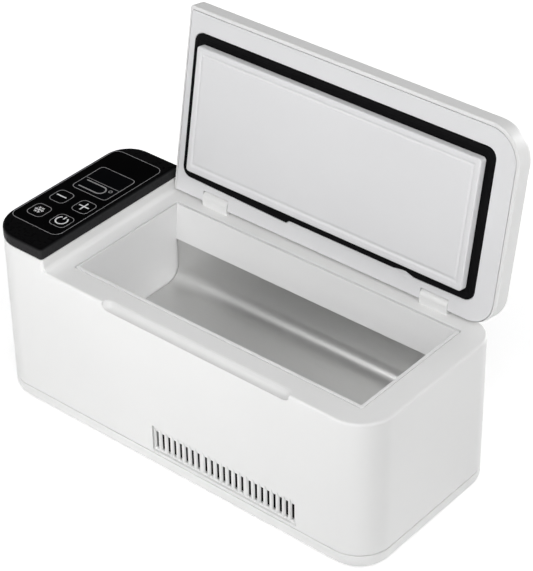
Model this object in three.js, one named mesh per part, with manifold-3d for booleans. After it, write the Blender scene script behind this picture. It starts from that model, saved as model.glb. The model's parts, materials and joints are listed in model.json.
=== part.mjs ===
// Portable cooling case for insulin pens: a white box with a metal trough, a hinged lid and a key panel
// Millimetres, +Z up, +X along the case to the right, -Y to the front; the lid stands open
import * as THREE from 'three';
import { mergeVertices } from 'three/addons/utils/BufferGeometryUtils.js';
import Module from 'manifold-3d';

const wasm = await Module();
wasm.setup();

// Case
const caseLength = 230;
const caseDepth = 97.4;
const frontCorner = 18;
const backCorner = 14.5;
const housingHeight = 74.8;
const housingWall = 3;
const deckThickness = 4;
const deckEdgeRound = 1.6;
const seamGap = 0.5;
const fitGap = 0.3;

// Base cover, feet and case screws
const baseHeight = 9;
const baseFloor = 2.6;
const baseEdgeRound = 6;
const tongueThickness = 1.4;
const tongueHeight = 2.5;
const footHeight = 2;
const footRadius = 7;
const footSeat = 0.8;
const footFromEnd = 26;
const footFromSide = 15;
const bossRadius = 4.2;
const bossHeight = 14;
const bossFromEnd = 10;
const bossFromSide = 24;
const bossRib = 2.4;
const screwRadius = 1.5;
const screwHeadRadius = 2.8;
const screwHeadHeight = 2;
const screwGap = 0.3;
const crossSlotWidth = 0.8;
const crossSlotDepth = 1;

// Tower and black cap of the key panel
const towerLength = 36.1;
const towerRise = 6.6;
const towerFillet = 2.5;
const capEdgeRound = 1.5;
const capSkin = 2;
const overlayThickness = 0.5;
const overlayCorner = 4;
const overlayFromLeft = 2;
const overlayFromRight = 3;
const overlayFromFront = 13.6;
const overlayFromBack = 8.9;
const overlayGap = 0.1;

// Keys, switches, display and board
const keyWidth = 8.7;
const keyDepth = 9.1;
const keyCorner = 1.6;
const keyGap = 0.25;
const keyProud = 0.3;
const keyTravel = 0.6;
const keyFloat = 0.15;
const keyFlange = 0.6;
const keyFlangeThickness = 0.8;
const keyColumnStart = 8.9;
const keyColumnPitch = 15;
const keyRowStart = 11;
const keyRowPitch = 15.4;
const stemRadius = 1.6;
const stemReach = 1.2;
const stemGap = 0.3;
const switchSize = 6;
const switchHeight = 4;
const displayFromLeft = 5.7;
const displayFromFront = 36.8;
const displayWidth = 21.9;
const displayDepth = 22;
const lensThickness = 1.5;
const lensLedge = 1.5;
const boardWidth = 24;
const boardLength = 78;
const boardThickness = 1.6;
const boardDrop = 8;
const boardBossRadius = 2.6;
const boardBossInset = 3.6;
const boardScrewRadius = 1.1;
const boardScrewHeadRadius = 2.2;
const boardScrewHeadHeight = 1.4;

// Storage well
const rimLeft = 9.6;
const rimRight = 15.3;
const rimFront = 15;
const rimBack = 12.9;
const linerWall = 1.8;
const linerFlange = 3;
const linerFlangeThickness = 1.6;
const collarDepth = 21.3;
const wellDepth = 44.4;
const troughWall = 1.2;
const troughFillet = 9;
const foamEnd = 6;

// Cooling stack, from the trough down to the base floor
const stackFromRight = 83;
const coldBlockLength = 66;
const coldBlockWidth = 42;
const coldBlockHeight = 7.6;
const peltierSize = 40;
const peltierHeight = 3.6;
const sinkWidth = 62;
const sinkBase = 4;
const finCount = 16;
const finThickness = 1.2;
const finGapsBetweenScrews = 10;
const fanSize = 60;
const fanHeight = 10;
const fanHoleInset = 5;
const fanFrameWall = 2.4;
const fanHubRadius = 12;
const fanFloorGap = 0.2;
const motorMountHeight = 1.6;
const bladeCount = 7;
const bladeThickness = 1.1;
const bladePitch = 0.6;
const bladeTipGap = 0.8;
const rotorHeight = 6.8;
const shaftRadius = 1.5;
const shaftGap = 0.15;
const spokeWidth = 3;
const stackScrewInset = 5.5;
const sensorRadius = 2;
const sensorLength = 10;
const sensorFromStack = 26;

// Air openings
const ventFromRight = 40.1;
const ventWidth = 87.6;
const ventHeight = 15.3;
const ventLift = 1.6;
const ventSetback = 0.6;
const ventFlange = 1.8;
const ventFlangeThickness = 1.2;
const slotWidth = 2;
const slotHeight = 12;
const slotPitch = 3.7;
const slotGroups = [8, 7, 8];
const slotGroupGap = 0.9;
const intakeSlots = 9;
const intakeWidth = 2.4;
const intakePitch = 5.2;

// Lid and hinge
const lidOpenAngle = THREE.MathUtils.degToRad(100.3);
const lidGap = 0.9;
const lidThickness = 11.6;
const lidInset = 0.3;
const lidSideGap = 1.2;
const lidEdgeRound = 4;
const lidRimRound = 0.5;
const lidRim = 2;
const lidSkin = 2.2;
const panelThickness = 2.6;
const sealOverlap = 2.85;
const sealWidth = 4.9;
const sealCorner = 5;
const sealProud = 0.7;
const sealSeat = 1.2;
const sealRound = 0.6;
const plugDepth = 3;
const plugCorner = 2.5;
const plugBevel = 4;
const plugBevelHeight = 1;
const plugGap = 0.35;
const hingeInset = 2.5;
const hingeRise = 3.8;
const hingeFromWellEnd = 18.3;
const knuckleWidth = 15;
const knuckleRadius = 1.9;
const lugWidth = 5;
const lugRadius = 2.1;
const pinRadius = 0.9;
const pinGap = 0.15;
const swingGap = 0.5;
const magnetRadius = 3;
const magnetHeight = 2.4;
const magnetFromEnd = 18;

// Finger scoop
const scoopRadius = 3.9;
const scoopLength = 112;

// Power inlet and wires
const socketHeight = 20;
const socketRadius = 5;
const socketFlangeRadius = 6.5;
const socketFlangeThickness = 1.2;
const socketLength = 16;
const socketBoreRadius = 3.2;
const socketBoreDepth = 10;
const contactRadius = 1.05;
const contactRecess = 1;
const nutRadius = 6.8;
const nutSides = 6;
const nutThickness = 2.5;
const leadRadius = 1;
const leadBend = 7;
const powerLeadY = 24;
const peltierLeadOffset = 8;
const fanLeadOffset = -13;

// Facets and tool reach
const facetsPerRoot = 2;
const arcSegments = 3;
const edgeSegments = 3;
const roundSegments = 24;
const smallSegments = 12;
const leadSegments = 6;
const leadSteps = 18;
const overcut = 1;
const weld = 1e-4;

// Levels and edges that the pieces share
const leftX = -caseLength / 2;
const rightX = caseLength / 2;
const frontY = -caseDepth / 2;
const backY = caseDepth / 2;
const seamZ = footHeight + baseHeight;
const floorZ = footHeight + baseFloor;
const housingZ = seamZ + seamGap;
const deckZ = housingZ + housingHeight;
const deckUnderZ = deckZ - deckThickness;
const towerX = leftX + towerLength;
const towerZ = deckZ + towerRise;
const lidZ = deckZ + lidGap;
const lidTopZ = lidZ + lidThickness;
const hingeY = backY - hingeInset;
const hingeZ = deckZ + hingeRise;

const well = { x0: towerX + rimLeft, x1: rightX - rimRight, y0: frontY + rimFront, y1: backY - rimBack };
const wellX = (well.x0 + well.x1) / 2;
const wellY = (well.y0 + well.y1) / 2;
const wellFloorZ = deckZ - wellDepth;
const troughUnderZ = wellFloorZ - troughWall;
const hingeCentres = [well.x0 + hingeFromWellEnd, well.x1 - hingeFromWellEnd];

const overlay = {
  x0: leftX + overlayFromLeft,
  x1: towerX - overlayFromRight,
  y0: frontY + overlayFromFront,
  y1: backY - overlayFromBack,
};
const display = { x0: overlay.x0 + displayFromLeft, y0: overlay.y0 + displayFromFront };
display.x1 = display.x0 + displayWidth;
display.y1 = display.y0 + displayDepth;
const capUnderZ = lidTopZ - capSkin;
const boardTopZ = capUnderZ - boardDrop;
const boardX = (overlay.x0 + overlay.x1) / 2;
const boardY = (overlay.y0 + overlay.y1) / 2;
const boardScrewYs = [boardY - boardLength / 2 + boardBossInset, boardY + boardLength / 2 - boardBossInset];

const stackX = rightX - stackFromRight;
const coldBlockZ = troughUnderZ - coldBlockHeight;
const peltierZ = coldBlockZ - peltierHeight;
const sinkBaseZ = peltierZ - sinkBase;
const fanZ = floorZ + fanFloorGap;
const fanTopZ = fanZ + fanHeight;
const fanBoreRadius = fanSize / 2 - fanFrameWall;
const fanHolePitch = fanSize - 2 * fanHoleInset;
const foam = { x0: well.x0 - linerWall - foamEnd, z0: peltierZ + fitGap, z1: deckUnderZ - fitGap };
const riserX = (leftX + housingWall + foam.x0) / 2;

// Outline with its own radius at each corner; a radius of zero leaves a sharp corner
function outline(x0, x1, y0, y1, frontLeft, frontRight, backRight, backLeft) {
  const points = [];
  const corner = (x, y, radius, start) => {
    const steps = Math.ceil(facetsPerRoot * Math.sqrt(radius));
    for (let i = 0; i <= steps; i += 1) {
      const angle = start + (steps > 0 ? i / steps : 0) * Math.PI / 2;
      points.push(new THREE.Vector2(x + radius * Math.cos(angle), y + radius * Math.sin(angle)));
    }
  };
  corner(x1 - frontRight, y0 + frontRight, frontRight, -Math.PI / 2);
  corner(x1 - backRight, y1 - backRight, backRight, 0);
  corner(x0 + backLeft, y1 - backLeft, backLeft, Math.PI / 2);
  corner(x0 + frontLeft, y0 + frontLeft, frontLeft, Math.PI);
  return new THREE.Shape(points);
}

// Rectangle grown by a margin on every side
function evenOutline(area, radius, margin = 0) {
  return outline(
    area.x0 - margin, area.x1 + margin, area.y0 - margin, area.y1 + margin,
    radius, radius, radius, radius,
  );
}

// The case, tower and lid outlines, each drawn in by an inset
function caseOutline(inset) {
  const front = frontCorner - inset;
  const back = backCorner - inset;
  return outline(leftX + inset, rightX - inset, frontY + inset, backY - inset, front, front, back, back);
}

function towerOutline(inset) {
  const front = frontCorner - inset;
  const back = backCorner - inset;
  return outline(leftX + inset, towerX - inset, frontY + inset, backY - inset, front, 0, 0, back);
}

function lidOutline(inset) {
  const reach = lidInset + inset;
  return outline(
    towerX + lidSideGap + inset, rightX - reach, frontY + reach, backY - reach,
    0, frontCorner - reach, backCorner - reach, 0,
  );
}

// A closed geometry as a solid that can be joined and cut
function solid(geometry) {
  geometry.deleteAttribute('normal');
  geometry.deleteAttribute('uv');
  const merged = mergeVertices(geometry, weld);
  const index = merged.index.array;
  const triangles = [];
  for (let i = 0; i < index.length; i += 3) {
    const [a, b, c] = [index[i], index[i + 1], index[i + 2]];
    if (a !== b && b !== c && c !== a) triangles.push(a, b, c);
  }
  return new wasm.Manifold(new wasm.Mesh({
    numProp: 3,
    vertProperties: Float32Array.from(merged.attributes.position.array),
    triVerts: Uint32Array.from(triangles),
  }));
}

function box(x0, x1, y0, y1, z0, z1) {
  const geometry = new THREE.BoxGeometry(x1 - x0, y1 - y0, z1 - z0);
  return solid(geometry.translate((x0 + x1) / 2, (y0 + y1) / 2, (z0 + z1) / 2));
}

// Block over a rectangle grown by a margin on every side
function block(area, margin, z0, z1) {
  return box(area.x0 - margin, area.x1 + margin, area.y0 - margin, area.y1 + margin, z0, z1);
}

// Square of one size about a point
function squareAt([x, y], size) {
  return { x0: x - size / 2, x1: x + size / 2, y0: y - size / 2, y1: y + size / 2 };
}

// Upright prism of a shape, with its lower and upper edges rounded by separate radii
function prism(shape, z0, z1, lowRound = 0, highRound = 0) {
  const settings = { depth: z1 - z0, bevelEnabled: false };
  if (lowRound === 0 && highRound === 0) {
    return solid(new THREE.ExtrudeGeometry(shape, settings).translate(0, 0, z0));
  }
  const reach = 2 * caseLength;
  const slice = box(-reach, reach, -reach, reach, z0, z1);
  const rounded = (radius, bottom, top) => solid(new THREE.ExtrudeGeometry(shape, {
    depth: top - bottom - 2 * radius,
    bevelThickness: radius,
    bevelSize: radius,
    bevelOffset: -radius,
    bevelSegments: edgeSegments,
  }).translate(0, 0, bottom + radius));
  let body = slice;
  if (lowRound > 0) body = body.intersect(rounded(lowRound, z0, z1 + 2 * lowRound));
  if (highRound > 0) body = body.intersect(rounded(highRound, z0 - 2 * highRound, z1));
  return body;
}

// Round bar from one end to the other along an axis
function bar(axis, from, to, centre, radius, segments = roundSegments) {
  const geometry = new THREE.CylinderGeometry(radius, radius, to - from, segments);
  geometry.translate(0, (from + to) / 2, 0);
  if (axis === 'x') geometry.rotateZ(-Math.PI / 2).translate(0, centre[0], centre[1]);
  if (axis === 'y') geometry.translate(centre[0], 0, centre[1]);
  if (axis === 'z') geometry.rotateX(Math.PI / 2).translate(centre[0], centre[1], 0);
  return solid(geometry);
}

// Upright hole that a screw's shank passes through with its clearance
function shankHole(at, z0, z1) {
  return bar('z', z0, z1, at, screwRadius + screwGap, smallSegments);
}

// Upright hole that a screw's head sits in with its clearance
function headHole(at, z0, z1) {
  return bar('z', z0, z1, at, screwHeadRadius + screwGap, smallSegments);
}

// Rib from a screw boss to the end wall, grown by a margin
function bossRibTo([x, y], endX, margin, z0, z1) {
  const half = bossRib / 2 + margin;
  return box(Math.min(x, endX), Math.max(x, endX), y - half, y + half, z0, z1);
}

// Screw that stands head down at a point, its shank pointing up
function screw(x, y, z, headRadius, headHeight, shankRadius, length) {
  return bar('z', z, z + headHeight, [x, y], headRadius, smallSegments)
    .add(bar('z', z, z + headHeight + length, [x, y], shankRadius, smallSegments));
}

// Wire that runs through its points with rounded corners
function lead(points) {
  const path = new THREE.CurvePath();
  let start = points[0];
  for (let i = 1; i < points.length - 1; i += 1) {
    const before = points[i].clone().add(start.clone().sub(points[i]).setLength(leadBend));
    const after = points[i].clone().add(points[i + 1].clone().sub(points[i]).setLength(leadBend));
    path.add(new THREE.LineCurve3(start, before));
    path.add(new THREE.QuadraticBezierCurve3(before, points[i], after));
    start = after;
  }
  path.add(new THREE.LineCurve3(start, points[points.length - 1]));
  const section = new THREE.Shape();
  section.absarc(0, 0, leadRadius, 0, 2 * Math.PI);
  return solid(new THREE.ExtrudeGeometry(section, {
    extrudePath: path,
    steps: leadSteps,
    curveSegments: leadSegments / 2,
  }));
}

const coolingCase = new THREE.Group();
const lid = new THREE.Group();
lid.position.set(0, hingeY, hingeZ);
lid.rotation.x = -lidOpenAngle;
coolingCase.add(lid);

// Adds a solid as a named mesh with a material of its own
function addPiece(name, body, finish, group = coolingCase) {
  const shape = body.getMesh();
  const geometry = new THREE.BufferGeometry();
  geometry.setAttribute('position', new THREE.BufferAttribute(shape.vertProperties, 3));
  geometry.setIndex(new THREE.BufferAttribute(shape.triVerts, 1));
  if (group === lid) geometry.translate(0, -hingeY, -hingeZ);
  geometry.computeVertexNormals();
  const mesh = new THREE.Mesh(geometry, new THREE.MeshStandardMaterial(finish));
  mesh.name = name;
  group.add(mesh);
}

const whitePlastic = { color: 0xf0f0ef, roughness: 0.3, metalness: 0 };
const satinWhite = { color: 0xe8e8e6, roughness: 0.5, metalness: 0 };
const blackGloss = { color: 0x0b0b0d, roughness: 0.12, metalness: 0 };
const blackPlastic = { color: 0x1a1a1c, roughness: 0.55, metalness: 0 };
const smokedLens = { color: 0x08090b, roughness: 0.06, metalness: 0 };
const satinAluminium = { color: 0xb4b6b8, roughness: 0.34, metalness: 1 };
const steel = { color: 0xa8a9ab, roughness: 0.3, metalness: 1 };
const blackRubber = { color: 0x141415, roughness: 0.85, metalness: 0 };
const paleFoam = { color: 0xe9e4d2, roughness: 0.95, metalness: 0 };
const whiteCeramic = { color: 0xf2f0ea, roughness: 0.6, metalness: 0 };
const greenBoard = { color: 0x17543a, roughness: 0.45, metalness: 0 };

// Places that repeat at the four corners
const corners = [
  ['front_left', -1, -1],
  ['front_right', 1, -1],
  ['back_left', -1, 1],
  ['back_right', 1, 1],
];
const bossAt = (sx, sy) => [sx * (rightX - bossFromEnd), sy * (backY - bossFromSide)];
const footAt = (sx, sy) => [sx * (rightX - footFromEnd), sy * (backY - footFromSide)];
const screwSeatZ = footHeight + screwHeadHeight + screwGap;
const ventX = rightX - ventFromRight - ventWidth / 2;
const vent = {
  x0: ventX - ventWidth / 2,
  x1: ventX + ventWidth / 2,
  z0: housingZ + ventLift,
  z1: housingZ + ventLift + ventHeight,
};
const socketZ = housingZ + socketHeight;
const magnetXs = [well.x0 + magnetFromEnd, well.x1 - magnetFromEnd];
const magnetY = (frontY + housingWall + well.y0 - linerWall - linerFlange) / 2;

function upperHousing() {
  const fillet = new THREE.Shape();
  fillet.moveTo(towerX - overcut, deckZ - overcut);
  fillet.lineTo(towerX + towerFillet, deckZ - overcut);
  fillet.lineTo(towerX + towerFillet, deckZ);
  fillet.absarc(towerX + towerFillet, deckZ + towerFillet, towerFillet, -Math.PI / 2, -Math.PI, true);
  fillet.lineTo(towerX - overcut, deckZ + towerFillet);
  const filletBar = new THREE.ExtrudeGeometry(fillet, {
    depth: caseDepth - 2 * deckEdgeRound,
    bevelEnabled: false,
    curveSegments: arcSegments,
  });
  filletBar.rotateX(Math.PI / 2).translate(0, backY - deckEdgeRound, 0);
  let body = prism(caseOutline(0), housingZ, deckZ, 0, deckEdgeRound)
    .add(prism(towerOutline(0), housingZ, towerZ))
    .add(solid(filletBar))
    .subtract(prism(caseOutline(housingWall), housingZ - overcut, deckUnderZ))
    .subtract(prism(towerOutline(housingWall), housingZ - overcut, towerZ + overcut));
  for (const [, sx, sy] of corners) {
    const at = bossAt(sx, sy);
    const wallX = sx * (rightX - housingWall / 2);
    body = body.add(bar('z', housingZ, housingZ + bossHeight, at, bossRadius, smallSegments))
      .add(bossRibTo(at, wallX, 0, housingZ, housingZ + bossHeight))
      .subtract(shankHole(at, housingZ - overcut, housingZ + bossHeight - overcut));
  }
  for (const x of hingeCentres) {
    const [x0, x1] = [x - knuckleWidth / 2, x + knuckleWidth / 2];
    body = body.add(bar('x', x0, x1, [hingeY, hingeZ], knuckleRadius, smallSegments))
      .add(box(x0, x1, hingeY - knuckleRadius, hingeY + knuckleRadius, deckZ - overcut, hingeZ))
      .subtract(bar('x', x0 - overcut, x1 + overcut, [hingeY, hingeZ], pinRadius + pinGap, smallSegments));
  }
  const half = scoopLength / 2 - scoopRadius;
  const scoopEnd = (x) => {
    const geometry = new THREE.SphereGeometry(scoopRadius, roundSegments, smallSegments);
    return solid(geometry.translate(x, frontY, deckZ));
  };
  const inletHole = bar(
    'y', backY - housingWall - overcut, backY + overcut, [riserX, socketZ], socketRadius + fitGap,
  );
  return body
    .subtract(block(well, linerWall + fitGap, deckUnderZ - overcut, deckZ + overcut))
    .subtract(box(vent.x0, vent.x1, frontY - overcut, frontY + housingWall + overcut, vent.z0, vent.z1))
    .subtract(inletHole)
    .subtract(bar('x', wellX - half, wellX + half, [frontY, deckZ], scoopRadius))
    .subtract(scoopEnd(wellX - half))
    .subtract(scoopEnd(wellX + half));
}

function baseCover() {
  const tongueInset = housingWall + fitGap;
  const innerInset = tongueInset + tongueThickness;
  let body = prism(caseOutline(0), footHeight, seamZ, baseEdgeRound, 0)
    .add(prism(caseOutline(tongueInset), seamZ - overcut, housingZ + tongueHeight))
    .subtract(prism(caseOutline(innerInset), floorZ, housingZ + tongueHeight + overcut))
    .subtract(box(
      vent.x0 - ventFlange - fitGap, vent.x1 + ventFlange + fitGap,
      frontY, frontY + innerInset + overcut, seamZ, housingZ + tongueHeight + overcut,
    ));
  for (const [, sx, sy] of corners) {
    const at = bossAt(sx, sy);
    const ribEnd = sx * (rightX - innerInset - overcut);
    body = body.subtract(bossRibTo(at, sx * rightX, fitGap, seamZ, housingZ + tongueHeight + overcut))
      .add(bar('z', floorZ - overcut, housingZ, at, bossRadius, smallSegments))
      .add(bossRibTo(at, ribEnd, 0, floorZ - overcut, seamZ))
      .subtract(headHole(at, footHeight - overcut, screwSeatZ))
      .subtract(shankHole(at, footHeight - overcut, housingZ + overcut))
      .subtract(bar('z', footHeight - overcut, footHeight + footSeat, footAt(sx, sy), footRadius + fitGap));
  }
  for (let i = 0; i < intakeSlots; i += 1) {
    const offset = (i - (intakeSlots - 1) / 2) * intakePitch;
    const half = Math.sqrt(fanBoreRadius ** 2 - offset ** 2) - intakeWidth;
    body = body.subtract(box(
      stackX - half, stackX + half, wellY + offset - intakeWidth / 2, wellY + offset + intakeWidth / 2,
      footHeight - overcut, floorZ + overcut,
    ));
  }
  return body;
}

function ventGrille() {
  const innerY = frontY + housingWall;
  const plate = box(
    vent.x0 + fitGap, vent.x1 - fitGap, frontY + ventSetback, innerY + ventFlangeThickness,
    vent.z0 + fitGap, vent.z1 - fitGap,
  );
  let body = plate.add(box(
    vent.x0 - ventFlange, vent.x1 + ventFlange, innerY, innerY + ventFlangeThickness,
    vent.z0 + fitGap, vent.z1 + ventFlange,
  ));
  const slots = slotGroups.reduce((sum, count) => sum + count, 0);
  const span = (slots - 1) * slotPitch + (slotGroups.length - 1) * slotGroupGap;
  const middleZ = (vent.z0 + vent.z1) / 2;
  let x = ventX - span / 2;
  for (const count of slotGroups) {
    for (let i = 0; i < count; i += 1) {
      body = body.subtract(box(
        x - slotWidth / 2, x + slotWidth / 2, frontY, innerY + ventFlangeThickness + overcut,
        middleZ - slotHeight / 2, middleZ + slotHeight / 2,
      ));
      x += slotPitch;
    }
    x += slotGroupGap;
  }
  return body;
}

// Collar with a flange under the deck; its end walls run down past the trough
function linerFrame() {
  const collarZ = deckZ - collarDepth;
  const ends = box(
    well.x0 - linerWall, well.x1 + linerWall, well.y0, well.y1, troughUnderZ, collarZ + overcut,
  );
  return block(well, linerWall, collarZ, deckZ)
    .add(block(well, linerWall + linerFlange, deckUnderZ - linerFlangeThickness, deckUnderZ))
    .add(ends)
    .subtract(block(well, 0, troughUnderZ - overcut, deckZ + overcut));
}

// U section of the trough, drawn in by an inset and closed across its open top
function troughSection(inset, topZ) {
  const [y0, y1] = [well.y0 + fitGap + inset, well.y1 - fitGap - inset];
  const bottomZ = troughUnderZ + inset;
  const radius = troughFillet + troughWall - inset;
  const shape = new THREE.Shape();
  shape.moveTo(y0, topZ);
  shape.lineTo(y0, bottomZ + radius);
  shape.absarc(y0 + radius, bottomZ + radius, radius, Math.PI, 1.5 * Math.PI);
  shape.lineTo(y1 - radius, bottomZ);
  shape.absarc(y1 - radius, bottomZ + radius, radius, 1.5 * Math.PI, 2 * Math.PI);
  shape.lineTo(y1, topZ);
  return shape;
}

// The section swept along the length of the well between two ends
function troughBar(inset, topZ, x0, x1) {
  const settings = { depth: x1 - x0, bevelEnabled: false, curveSegments: arcSegments };
  const geometry = new THREE.ExtrudeGeometry(troughSection(inset, topZ), settings);
  geometry.applyMatrix4(new THREE.Matrix4().makeBasis(
    new THREE.Vector3(0, 1, 0), new THREE.Vector3(0, 0, 1), new THREE.Vector3(1, 0, 0),
  ));
  return solid(geometry.translate(x0, 0, 0));
}

function coldTrough() {
  const topZ = deckZ - collarDepth - fitGap;
  return troughBar(0, topZ, well.x0 + fitGap, well.x1 - fitGap)
    .subtract(troughBar(troughWall, topZ + overcut, well.x0, well.x1));
}

const coldArea = {
  x0: stackX - coldBlockLength / 2,
  x1: stackX + coldBlockLength / 2,
  y0: wellY - coldBlockWidth / 2,
  y1: wellY + coldBlockWidth / 2,
};
const sensorX = coldArea.x0 - sensorFromStack;
const sensorZ = troughUnderZ - fitGap - sensorRadius;

function insulationFoam() {
  const wallGap = linerWall + fitGap;
  const sensorGroove = sensorRadius + fitGap;
  const leadGroove = leadRadius + fitGap;
  const leadY = wellY + peltierLeadOffset;
  const endCut = (x0, x1) => box(x0, x1, well.y0 - fitGap, well.y1 + fitGap, troughUnderZ - fitGap, deckZ);
  let body = prism(caseOutline(housingWall + fitGap), foam.z0, foam.z1)
    .intersect(box(foam.x0, rightX, frontY, backY, foam.z0 - overcut, foam.z1 + overcut))
    .subtract(troughBar(-fitGap, deckZ, well.x0 - wallGap, well.x1 + wallGap))
    .subtract(block(well, wallGap, deckZ - collarDepth - fitGap, deckZ))
    .subtract(block(well, linerFlange + wallGap, deckUnderZ - linerFlangeThickness - fitGap, deckZ))
    .subtract(block(coldArea, fitGap, foam.z0 - overcut, troughUnderZ + overcut))
    .subtract(endCut(well.x0 - wallGap, well.x0))
    .subtract(endCut(well.x1, well.x1 + wallGap))
    .subtract(box(
      foam.x0 - overcut, sensorX + sensorLength / 2 + fitGap, wellY - sensorGroove, wellY + sensorGroove,
      sensorZ - sensorGroove, troughUnderZ,
    ))
    .subtract(box(
      foam.x0 - overcut, coldArea.x0 + overcut, leadY - leadGroove, leadY + leadGroove,
      foam.z0 - overcut, peltierZ + peltierHeight,
    ))
    .subtract(box(
      vent.x0 - ventFlange - fitGap, vent.x1 + ventFlange + fitGap,
      frontY, frontY + housingWall + ventFlangeThickness + fitGap, seamZ, vent.z1 + ventFlange + fitGap,
    ));
  for (const x of magnetXs) {
    body = body.subtract(box(
      x - magnetRadius - fitGap, x + magnetRadius + fitGap, frontY, well.y0,
      deckUnderZ - magnetHeight - fitGap, deckZ,
    ));
  }
  return body;
}

const stackScrewXs = [coldArea.x0 + stackScrewInset, coldArea.x1 - stackScrewInset];
const stackScrewTopZ = troughUnderZ - screwGap;

function coldBlock() {
  let body = block(coldArea, 0, coldBlockZ, troughUnderZ);
  for (const x of stackScrewXs) {
    body = body.subtract(shankHole([x, wellY], coldBlockZ - overcut, troughUnderZ + overcut))
      .subtract(headHole([x, wellY], stackScrewTopZ - screwHeadHeight - screwGap, troughUnderZ + overcut));
  }
  return body;
}

// Screw from the top of the cold block down into the heat sink
function stackScrew(x) {
  const at = [x, wellY];
  return bar('z', stackScrewTopZ - screwHeadHeight, stackScrewTopZ, at, screwHeadRadius, smallSegments)
    .add(bar('z', sinkBaseZ + fitGap, stackScrewTopZ, at, screwRadius, smallSegments));
}

const finPitch = fanHolePitch / finGapsBetweenScrews;

function heatSink() {
  const half = ((finCount - 1) * finPitch + finThickness) / 2;
  const [y0, y1] = [wellY - sinkWidth / 2, wellY + sinkWidth / 2];
  let body = box(stackX - half, stackX + half, y0, y1, sinkBaseZ, peltierZ);
  for (let i = 0; i < finCount; i += 1) {
    const x = stackX - half + i * finPitch;
    body = body.add(box(x, x + finThickness, y0, y1, fanTopZ, sinkBaseZ + sinkBase / 2));
  }
  for (const x of stackScrewXs) {
    body = body.subtract(shankHole([x, wellY], sinkBaseZ - overcut, peltierZ + overcut));
  }
  return body;
}

const fanScrewAt = (sx, sy) => [stackX + sx * fanHolePitch / 2, wellY + sy * fanHolePitch / 2];
const fanScrewZ = fanZ + screwGap;
const rotorZ = fanZ + motorMountHeight + fitGap;

function fanFrame() {
  let body = block(squareAt([stackX, wellY], fanSize), 0, fanZ, fanTopZ)
    .subtract(bar('z', fanZ - overcut, fanTopZ + overcut, [stackX, wellY], fanBoreRadius))
    .add(bar('z', fanZ, fanZ + motorMountHeight, [stackX, wellY], fanHubRadius))
    .add(box(
      stackX - fanBoreRadius - overcut, stackX + fanBoreRadius + overcut,
      wellY - spokeWidth / 2, wellY + spokeWidth / 2, fanZ, fanZ + motorMountHeight,
    ))
    .add(box(
      stackX - spokeWidth / 2, stackX + spokeWidth / 2,
      wellY - fanBoreRadius - overcut, wellY + fanBoreRadius + overcut, fanZ, fanZ + motorMountHeight,
    ))
    .subtract(bar('z', fanZ - overcut, rotorZ, [stackX, wellY], shaftRadius + shaftGap, smallSegments));
  for (const [, sx, sy] of corners) {
    const at = fanScrewAt(sx, sy);
    body = body.subtract(shankHole(at, fanZ - overcut, fanTopZ + overcut))
      .subtract(headHole(at, fanZ - overcut, fanScrewZ + screwHeadHeight + screwGap));
  }
  return body;
}

function fanRotor() {
  const tip = fanBoreRadius - bladeTipGap;
  const hub = bar('z', rotorZ, rotorZ + rotorHeight, [stackX, wellY], fanHubRadius)
    .add(bar('z', fanZ + fitGap, rotorZ + overcut, [stackX, wellY], shaftRadius, smallSegments));
  const reach = bar('z', rotorZ, rotorZ + rotorHeight, [stackX, wellY], tip);
  let body = hub;
  for (let i = 0; i < bladeCount; i += 1) {
    const blade = new THREE.BoxGeometry(fanBoreRadius, bladeThickness, 2 * rotorHeight);
    blade.translate(fanBoreRadius / 2, 0, 0).rotateX(bladePitch).rotateZ(i / bladeCount * 2 * Math.PI);
    body = body.add(solid(blade.translate(stackX, wellY, rotorZ + rotorHeight / 2)).intersect(reach));
  }
  return body;
}

const keyNames = [['set', 0, 0], ['power', 1, 0], ['minus', 0, 1], ['plus', 1, 1]];
const keyAt = (column, row) => [
  overlay.x0 + keyColumnStart + column * keyColumnPitch,
  overlay.y0 + keyRowStart + row * keyRowPitch,
];

// Rounded square of a key, grown by a margin
function keyShape(column, row, margin) {
  const [x, y] = keyAt(column, row);
  const area = { x0: x - keyWidth / 2, x1: x + keyWidth / 2, y0: y - keyDepth / 2, y1: y + keyDepth / 2 };
  return evenOutline(area, keyCorner + margin, margin);
}

function withoutKeyHoles(body, z0, z1) {
  let rest = body;
  for (const [, column, row] of keyNames) {
    rest = rest.subtract(prism(keyShape(column, row, keyGap), z0, z1));
  }
  return rest;
}

const capZ = towerZ + fitGap;
const switchTopZ = boardTopZ + switchHeight;
const stemZ = switchTopZ - stemReach;

function controlCap() {
  const tongueInset = housingWall + fitGap;
  const innerInset = tongueInset + tongueThickness;
  let body = prism(towerOutline(0), capZ, lidTopZ, 0, capEdgeRound)
    .add(prism(towerOutline(tongueInset), towerZ - tongueHeight, capZ + overcut))
    .subtract(prism(towerOutline(innerInset), towerZ - tongueHeight - overcut, capUnderZ));
  for (const y of boardScrewYs) {
    const at = [boardX, y];
    body = body.add(bar('z', boardTopZ, capUnderZ + overcut, at, boardBossRadius, smallSegments))
      .subtract(bar('z', boardTopZ - overcut, capUnderZ, at, boardScrewRadius + screwGap, smallSegments));
  }
  const aboveZ = lidTopZ + overcut;
  const overlaySeat = evenOutline(overlay, overlayCorner, overlayGap);
  body = body.subtract(prism(overlaySeat, lidTopZ - overlayThickness, aboveZ))
    .subtract(block(display, overlayGap, lidTopZ - lensThickness, aboveZ))
    .subtract(block(display, -lensLedge, capUnderZ - overcut, aboveZ));
  return withoutKeyHoles(body, capUnderZ - overcut, aboveZ);
}

function panelOverlay() {
  const sheet = prism(evenOutline(overlay, overlayCorner), lidTopZ - overlayThickness, lidTopZ)
    .subtract(block(display, overlayGap, capUnderZ, lidTopZ + overcut));
  return withoutKeyHoles(sheet, capUnderZ, lidTopZ + overcut);
}

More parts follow.
